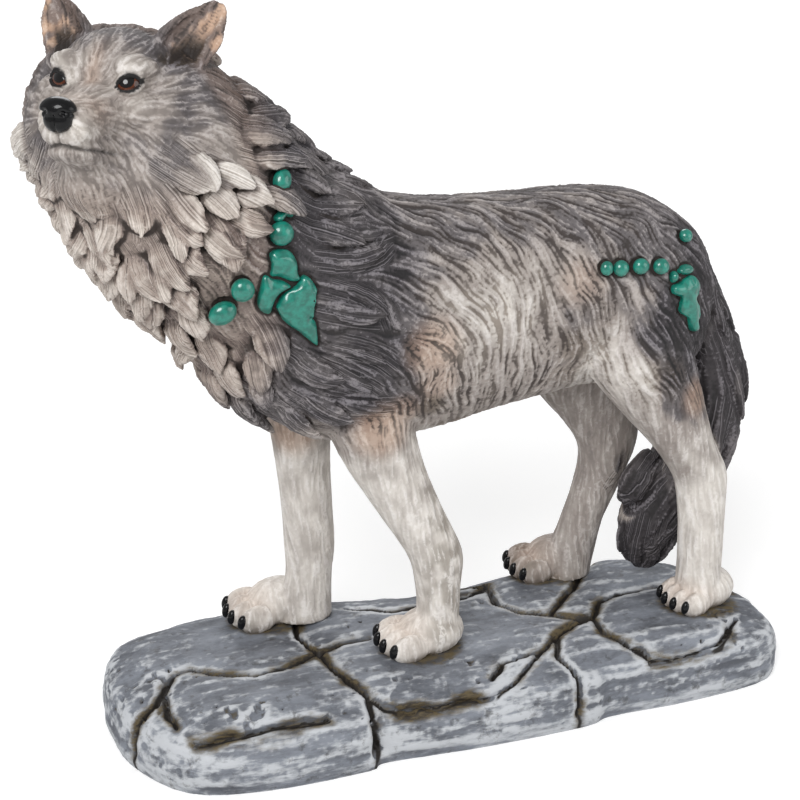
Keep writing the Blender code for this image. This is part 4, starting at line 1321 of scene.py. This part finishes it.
def painted(spots, normals, values):
    """The numbers that the fur's material reads, from what was kept of the relief."""
    region = regions(spots)
    masks = paint_masks(spots, normals, region)
    hollow, mane = values["hollow"], np.maximum(region["mane"], values["cheek"])
    lane, held = lock_lanes(spots)
    # Darkest in the hollows between locks, deep in the ears and round the beads, as paint and painted shade; the
    # tail is darkened evenly as paint
    wash_and_shade = ramp(hollow, 0.15 - 0.12 * mane, 0.75 - 0.35 * mane)
    wash_and_shade = np.maximum.reduce([wash_and_shade, 0.3 * region["tail"], masks["cup"], values["recess"]])
    black = eye_rim(spots) + 0.75 * values["lips"] * ramp(region["local"][:, 0], 12, 18)
    # In the mane, paler on the locks' crests and a little darker elsewhere: partly pale paint, partly painted
    # highlight on the crests
    tone = masks["tone"] + (0.36 * ramp(-hollow, -0.1, 0.35) - 0.1) * mane
    return {"ridge": values["ridge"], "strand": values["strand"], "inked": values["inked"] * (1 - 0.5 * held),
            "lane": lane, "held": held, "tan": masks["tan"], "brown": masks["brown"],
            "tone": np.clip(tone, 0, 1), "wash_and_shade": np.clip(wash_and_shade, 0, 1), "black": np.clip(black, 0, 1)}


def build_wolf(fur):
    shape = shape_of(fused(plain_forms(), ROUGH_STEP))
    skin = BVHTree.FromBMesh(shape)
    stones = gathered(beads(skin))
    locks = mane_locks(skin) + ruff_locks(skin) + tail_ridges(skin)
    shape.free()
    mesh = fused(plain_forms() + locks, FINE_STEP, 3)
    values = carved(mesh, mesh_arrays(stones)[0])
    mesh, values = thinned(mesh, mesh_arrays(mesh)[0], values)
    spots, normals = mesh_arrays(mesh)
    values = painted(spots, normals, values)
    centre = spots[corner_rows(mesh.polygons, 3)].mean(1)
    for key, keep in split(centre).items():
        part_of(mesh, spots, normals, values, keep, key, fur)
    return stones


def split(centre):
    """Which faces go to the head, the mane, the body, the legs and the tail."""
    x, y, z = centre.T
    ahead, _, up = head_spots(centre).T
    head_part = (ahead > -13) & (up > -26) & (z > 140)
    low = z < 70
    body = ~head_part & ~low
    mane, near = body & (x < -42), y < WOLF_Y
    return {"head": head_part, "mane_left": mane & near, "mane_right": mane & ~near,
            "shoulders": body & (x >= -42) & (x < 12), "rump": body & (x >= 12),
            "front_legs": low & (x < 20), "rear_legs_and_tail": low & (x >= 20)}


def eye_mask(spots):
    """1 on the lids and in the sockets, where no strand is carved."""
    centres = [eye_frame(side)[0] + eye_frame(side)[1] * 3 for side in (1, -1)]
    return np.maximum.reduce([ramp(np.linalg.norm(spots - centre, axis=1), 5.2, 4.2) for centre in centres])


def eye_rim(spots):
    """1 on the black line round each eye."""
    mask = np.zeros(len(spots))
    for side in (1, -1):
        _, _, a, b, edge = lids(spots, side)
        thick = np.where(b > 0, 1.0, 0.55) * ramp(a, -EYE_HALF_WIDTH - 0.5, -EYE_HALF_WIDTH + 0.6)
        near = ramp(np.abs(b) - edge, thick + 0.01, thick * 0.6) * (a < EYE_HALF_WIDTH + 0.8)
        mask = np.maximum(mask, near * in_front(spots, side, 1.4))
    return mask


def build_eyes(material):
    for side, word in ((1, "left"), (-1, "right")):
        centre, ahead, outer, top = eye_frame(side)
        mesh = mesh_of(ball(centre, (EYE_RADIUS,) * 3, fine=3), "eye_" + word)
        spots, _ = mesh_arrays(mesh)
        # The gaze is turned up, so the large black pupil covers the eye's upper half: partly the pupil's paint,
        # partly painted shade under the upper lid
        gaze = ahead + top * 0.34 - outer * 0.1
        gaze /= np.linalg.norm(gaze)
        angle = np.arccos(np.clip((spots - centre) / EYE_RADIUS @ gaze, -1, 1))
        store(mesh, "from_pupil", angle / 1.05)
        lifted_piece("eye_" + word, mesh, spots, material)


def build_nose(material):
    """A broad nose that narrows downwards, with a comma-shaped nostril on each side."""
    mesh = fused(placed([
        ball(NOSE_AT + Vector((0, 0, 0.9)), (3.4, NOSE_WIDTH / 2, NOSE_WIDTH * 0.34), fine=2),
        ball(NOSE_AT + Vector((-0.2, 0, -1.5)), (3.1, NOSE_WIDTH * 0.39, NOSE_WIDTH * 0.34), fine=2),
    ], HEAD), NOSE_STEP, 4)
    spots, normals = mesh_arrays(mesh)
    ahead, aside, up = head_spots(spots).T
    depth = np.zeros(len(spots))
    for side in (1, -1):
        hole = NOSE_AT + Vector((2.6, side * 2.5, 0.2))
        depth += 0.9 * np.exp(-(((aside - hole.y) / 0.8) ** 2 + ((up - hole.z) / 0.7) ** 2)) * (ahead > 34)
        slit = up - (NOSE_AT.z - 0.5 + 0.3 * (np.abs(aside) - 2.5))
        depth += 0.8 * np.exp(-(slit / 0.45) ** 2) * ramp(aside * side, 2.4, 3.0)
    depth += 0.5 * np.exp(-(aside / 0.4) ** 2) * ramp(up, -4, -5.5)
    lifted_piece("nose", mesh, spots - normals * depth[:, None], material)


def build_claws(material):
    """An almond-shaped nail on the front of each toe."""
    shapes = []
    for paw_at in PAWS:
        shapes += placed([ball((ahead - 5.3, spread * 4.25, 4.3), (1.35, 1.3, CLAW_LENGTH * 0.38), (0, 14, 0), 2)
                          for spread, ahead in TOES], paw_place(*paw_at))
    mesh = fused(shapes, CLAW_STEP, 3)
    lifted_piece("claws", mesh, mesh_arrays(mesh)[0], material)


def build_beads(mesh, material):
    lifted_piece("beads", mesh, mesh_arrays(mesh)[0], material)


# Slab

def base_outline(inset):
    """The slab's rim, drawn in by inset, from points on a slab of the drawn size."""
    rows = smooth_rows([
        (-104, 8), (-99, 27), (-80, 35), (-55, 37), (-28, 36), (0, 33), (28, 35), (62, 34), (88, 25), (101, 9),
        (104, -12), (99, -27), (72, -31.5), (44, -32), (34, -35), (0, -36), (-30, -34.5), (-36, -37), (-66, -37),
        (-88, -31), (-101, -12), (-104, 8),
    ])[:-1]
    points = [Vector((x * BASE_LENGTH / DRAWN_SLAB[0], y * BASE_WIDTH / DRAWN_SLAB[1])) for x, y in rows]
    return [at - at.normalized() * inset for at in points]


# Cracks of the top, in plan on a slab of the drawn size
CRACKS = [
    [(-88, -6), (-84, 1), (-79, 2), (-71, -4), (-61, -8), (-50, -6), (-40, -2), (-32, 1), (-24, 2)],
    [(-89, -7), (-89, -16), (-88, -23)],
    [(-84, -30), (-71, -33), (-57, -33), (-46, -32)],
    [(-32, -28), (-28, -31), (-22, -33), (-4, -33), (9, -32), (16, -28), (26, -19), (31, -14)],
    [(6, -27), (10, -22), (17, -21), (24, -20)],
    [(31, -14), (39, -9), (46, -7), (46, -16), (50, -25), (56, -30), (64, -31), (74, -30), (83, -26), (88, -20)],
    [(22, 26), (22, 9), (27, 3), (34, -2), (41, -6), (46, -7), (52, 1), (64, 4), (80, 4), (96, 0)],
    [(34, -2), (41, 6), (49, 14), (55, 22)],
    [(22, 20), (6, 17), (-12, 16), (-24, 22)],
]
# Cracks that run on down the side
SIDE_CRACKS = [
    [(-88, -6), (-95, -12), (-106, -19)],
    [(-40, -2), (-39, -11), (-36, -20), (-32, -28), (-33, -42)],
    [(31, -14), (29, -23), (30, -31), (34, -42)],
    [(-40, -2), (-44, 10), (-41, 22), (-36, 42)],
    [(22, 20), (15, 28), (10, 42)],
    [(55, 22), (60, 28), (64, 42)],
]


def crack_distance(x, y, z):
    """How far points of the slab lie from the nearest crack, measured in plan and down from the top's edge."""
    wide, deep = BASE_LENGTH / DRAWN_SLAB[0], BASE_WIDTH / DRAWN_SLAB[1]
    below = np.maximum(BASE_THICKNESS - EDGE_ROUNDING - z, 0)
    nearest = np.full(len(x), 1e9)
    for line, drop in [(line, below) for line in CRACKS] + [(line, 0) for line in SIDE_CRACKS]:
        for (ax, ay), (bx, by) in zip(line, line[1:]):
            ax, bx, ay, by = ax * wide, bx * wide, ay * deep, by * deep
            run, rise = bx - ax, by - ay
            t = np.clip(((x - ax) * run + (y - ay) * rise) / (run**2 + rise**2), 0, 1)
            away = np.hypot(x - ax - t * run, y - ay - t * rise)
            nearest = np.minimum(nearest, np.hypot(away, drop))
    return nearest


def crack_gap(spots):
    """How far places of the slab lie from the nearest crack, once its line is made to waver."""
    bend = noises(spots, 7, 21, 22) * 1.1
    bend += noises(spots, 2.5, 23, 24) * 0.4
    return crack_distance(*(spots[:, :2] + bend).T, spots[:, 2])


def build_slab(material):
    """The slab with its cracks, chipped rims, layers and pits."""
    top = BASE_THICKNESS
    levels = [(2.5, -3), (1.2, 0), (0, top * 0.25), (0.3, top * 0.5), (1.5, top * 0.78), (3.5, top * 0.93),
              (7, top), (14, top + STONE_RISE * 0.7), (26, top + STONE_RISE)]
    rings = [[Vector((p.x, p.y, z)) for p in base_outline(inset)] for inset, z in levels]
    mesh = fused([loft(rings)], STONE_STEP, 2)
    spots, normals = mesh_arrays(mesh)
    away = crack_gap(spots)
    width = CRACK_HALF_WIDTH * (1 + 0.35 * noise(spots, 12, 25))
    groove = np.exp(-(away / width) ** 2) * CRACK_DEPTH
    shoulder = np.exp(-(away / STONE_ROUNDING) ** 2) * CRACK_DEPTH * 0.3
    stretched = spots * np.array([0.4, 1.0, 1.5])
    layers = noise(stretched, 6, 31) * 0.5 + noise(stretched, 2.4, 32) * 0.25 + noise(spots, 1.1, 33) * 0.12
    broad = noise(spots, 22, 34) * 0.6
    pits = ramp(noise(spots, 2.2, 35) + 0.5 * noise(spots, 14, 36), 0.85, 1.05) * 0.9
    under = ramp(spots[:, 2], 2.5, 6)
    depth = np.maximum(groove, shoulder) - (layers + broad - 0.3) * (1 - np.exp(-(away / 2) ** 2)) + pits
    spots = spots - normals * (depth * under)[:, None]
    spots[:, 2] = np.maximum(spots[:, 2], 0)
    set_spots(mesh, spots)
    mesh = levelled(mesh)
    stone_masks(mesh)
    mesh.transform(Matrix.Scale(MM, 4))
    piece("flagstones", mesh, material)


def stone_masks(mesh):
    """Where the slab is painted near-black down in a crack as shade, dirty along the cracks, darker in the hollows
    as painted shade and round the paws, and dry-brushed, kept on the mesh.
    """
    spots, normals = mesh_arrays(mesh)
    away = crack_gap(spots)
    cavity = hollowness(spots, normals, corner_rows(mesh.edges, 2), 12)
    paws = np.minimum.reduce([np.hypot(spots[:, 0] - x, (spots[:, 1] - y) * 1.2) for x, y, _, _ in PAWS])
    dirt_and_shade = np.exp(-(away / 3.4) ** 2) * 1.15 * (0.6 + 0.5 * noise(spots, 9, 41))
    # Darker round the paws on the slab's top
    dirt_and_shade = np.maximum(dirt_and_shade, ramp(paws, 17, 11) * 0.7 * ramp(spots[:, 2], 15, 17))
    # Painted shade in the slab's hollows, in the same olive brown
    dirt_and_shade = np.maximum(dirt_and_shade, ramp(cavity, 0.12, 0.4) * 0.6)
    # Near-black painted shade down in the cracks and the deepest hollows
    store(mesh, "deep", np.clip(np.exp(-(away / 0.95) ** 2) + ramp(cavity, 0.4, 0.8), 0, 1))
    store(mesh, "dirt_and_shade", np.clip(dirt_and_shade, 0, 1))
    sides = ramp(spots[:, 2], BASE_THICKNESS, BASE_THICKNESS - 4)
    bands = ramp(noise(spots * np.array([0.3, 0.3, 1.6]), 5, 45), -0.2, 0.6)
    store(mesh, "high", np.clip(0.22 - cavity * 1.7 + sides * (0.05 + 0.3 * bands), 0, 1))


def levelled(mesh):
    """The mesh cut off level at the underside and closed there by one flat face."""
    shape = shape_of(mesh)
    everything = shape.verts[:] + shape.edges[:] + shape.faces[:]
    cut = bmesh.ops.bisect_plane(shape, geom=everything, plane_co=(0, 0, UNDERSIDE), plane_no=(0, 0, -1),
                                 clear_outer=True)
    rim = [e for e in cut["geom_cut"] if isinstance(e, bmesh.types.BMEdge)]
    bmesh.ops.contextual_create(shape, geom=rim)
    shape.to_mesh(mesh)
    shape.free()
    return mesh


# Studio

def build_floor():
    n = Nodes("pale_floor")
    seen = n.new("ShaderNodeLightPath").outputs["Is Camera Ray"]
    grain = n.mix(n.noise(300, 3), (0.8, 0.8, 0.8, 1), (0.84, 0.84, 0.84, 1))
    n.finish(Base_Color=grain, Roughness=0.9, Emission_Color=(1, 1, 1, 1),
             Emission_Strength=n.times(seen, FLOOR_GLOW))
    corners = [(x * FLOOR_REACH, y * FLOOR_REACH, 0) for x, y in ((-1, -1), (1, -1), (1, 1), (-1, 1))]
    mesh = bpy.data.meshes.new("floor")
    mesh.from_pydata(corners, [], [(0, 1, 2, 3)])
    mesh.materials.append(n.material)
    floor = added("floor", mesh)


def build_world():
    """White light from all round, dimmer on the object than the white that the camera sees."""
    world = bpy.data.worlds.new("studio")
    bpy.context.scene.world = world
    world.use_nodes = True
    nodes, link = world.node_tree.nodes, world.node_tree.links.new
    mix = nodes.new("ShaderNodeMixShader")
    link(nodes.new("ShaderNodeLightPath").outputs["Is Camera Ray"], mix.inputs[0])
    lights = (nodes["Background"], WORLD_LIGHT), (nodes.new("ShaderNodeBackground"), 1.0)
    for socket, (light, strength) in enumerate(lights, 1):
        light.inputs["Color"].default_value = (1, 1, 1, 1)
        light.inputs["Strength"].default_value = strength
        link(light.outputs[0], mix.inputs[socket])
    link(mix.outputs[0], nodes["World Output"].inputs[0])


def lamp(name, place, target, size, power):
    light = bpy.data.lights.new(name, "AREA")
    light.shape = "DISK"
    light.size = size
    light.energy = power
    obj = added(name, light)
    obj.location = place
    obj.rotation_euler = (Vector(target) - Vector(place)).to_track_quat("-Z", "Y").to_euler()


def build_camera():
    a, e = math.radians(CAMERA_AZIMUTH), math.radians(CAMERA_ELEVATION)
    back = Vector((math.sin(a) * math.cos(e), -math.cos(a) * math.cos(e), math.sin(e)))
    camera = bpy.data.cameras.new("camera")
    camera.lens = CAMERA_LENS
    camera.clip_start = 0.01
    obj = added("camera", camera)
    obj.location = Vector(CAMERA_TARGET) + back * CAMERA_DISTANCE
    obj.rotation_mode = "QUATERNION"
    obj.rotation_quaternion = (-back).to_track_quat("-Z", "Y")
    bpy.context.scene.camera = obj


build_camera()
build_floor()
build_world()
lamp("key", (-0.7, -0.9, 1.1), (0, 0, 0.1), 0.8, 15)
lamp("fill", (1.0, -0.8, 0.5), (0, 0, 0.1), 1.0, 4)
lamp("back", (0.2, 1.1, 0.9), (0, 0, 0.1), 0.9, 6)

black = black_material()
stones = build_wolf(fur_material())
build_beads(stones, bead_material())
build_eyes(eye_material())
build_nose(black)
build_claws(black)
build_slab(stone_material())

bpy.context.scene.view_settings.view_transform = "Standard"
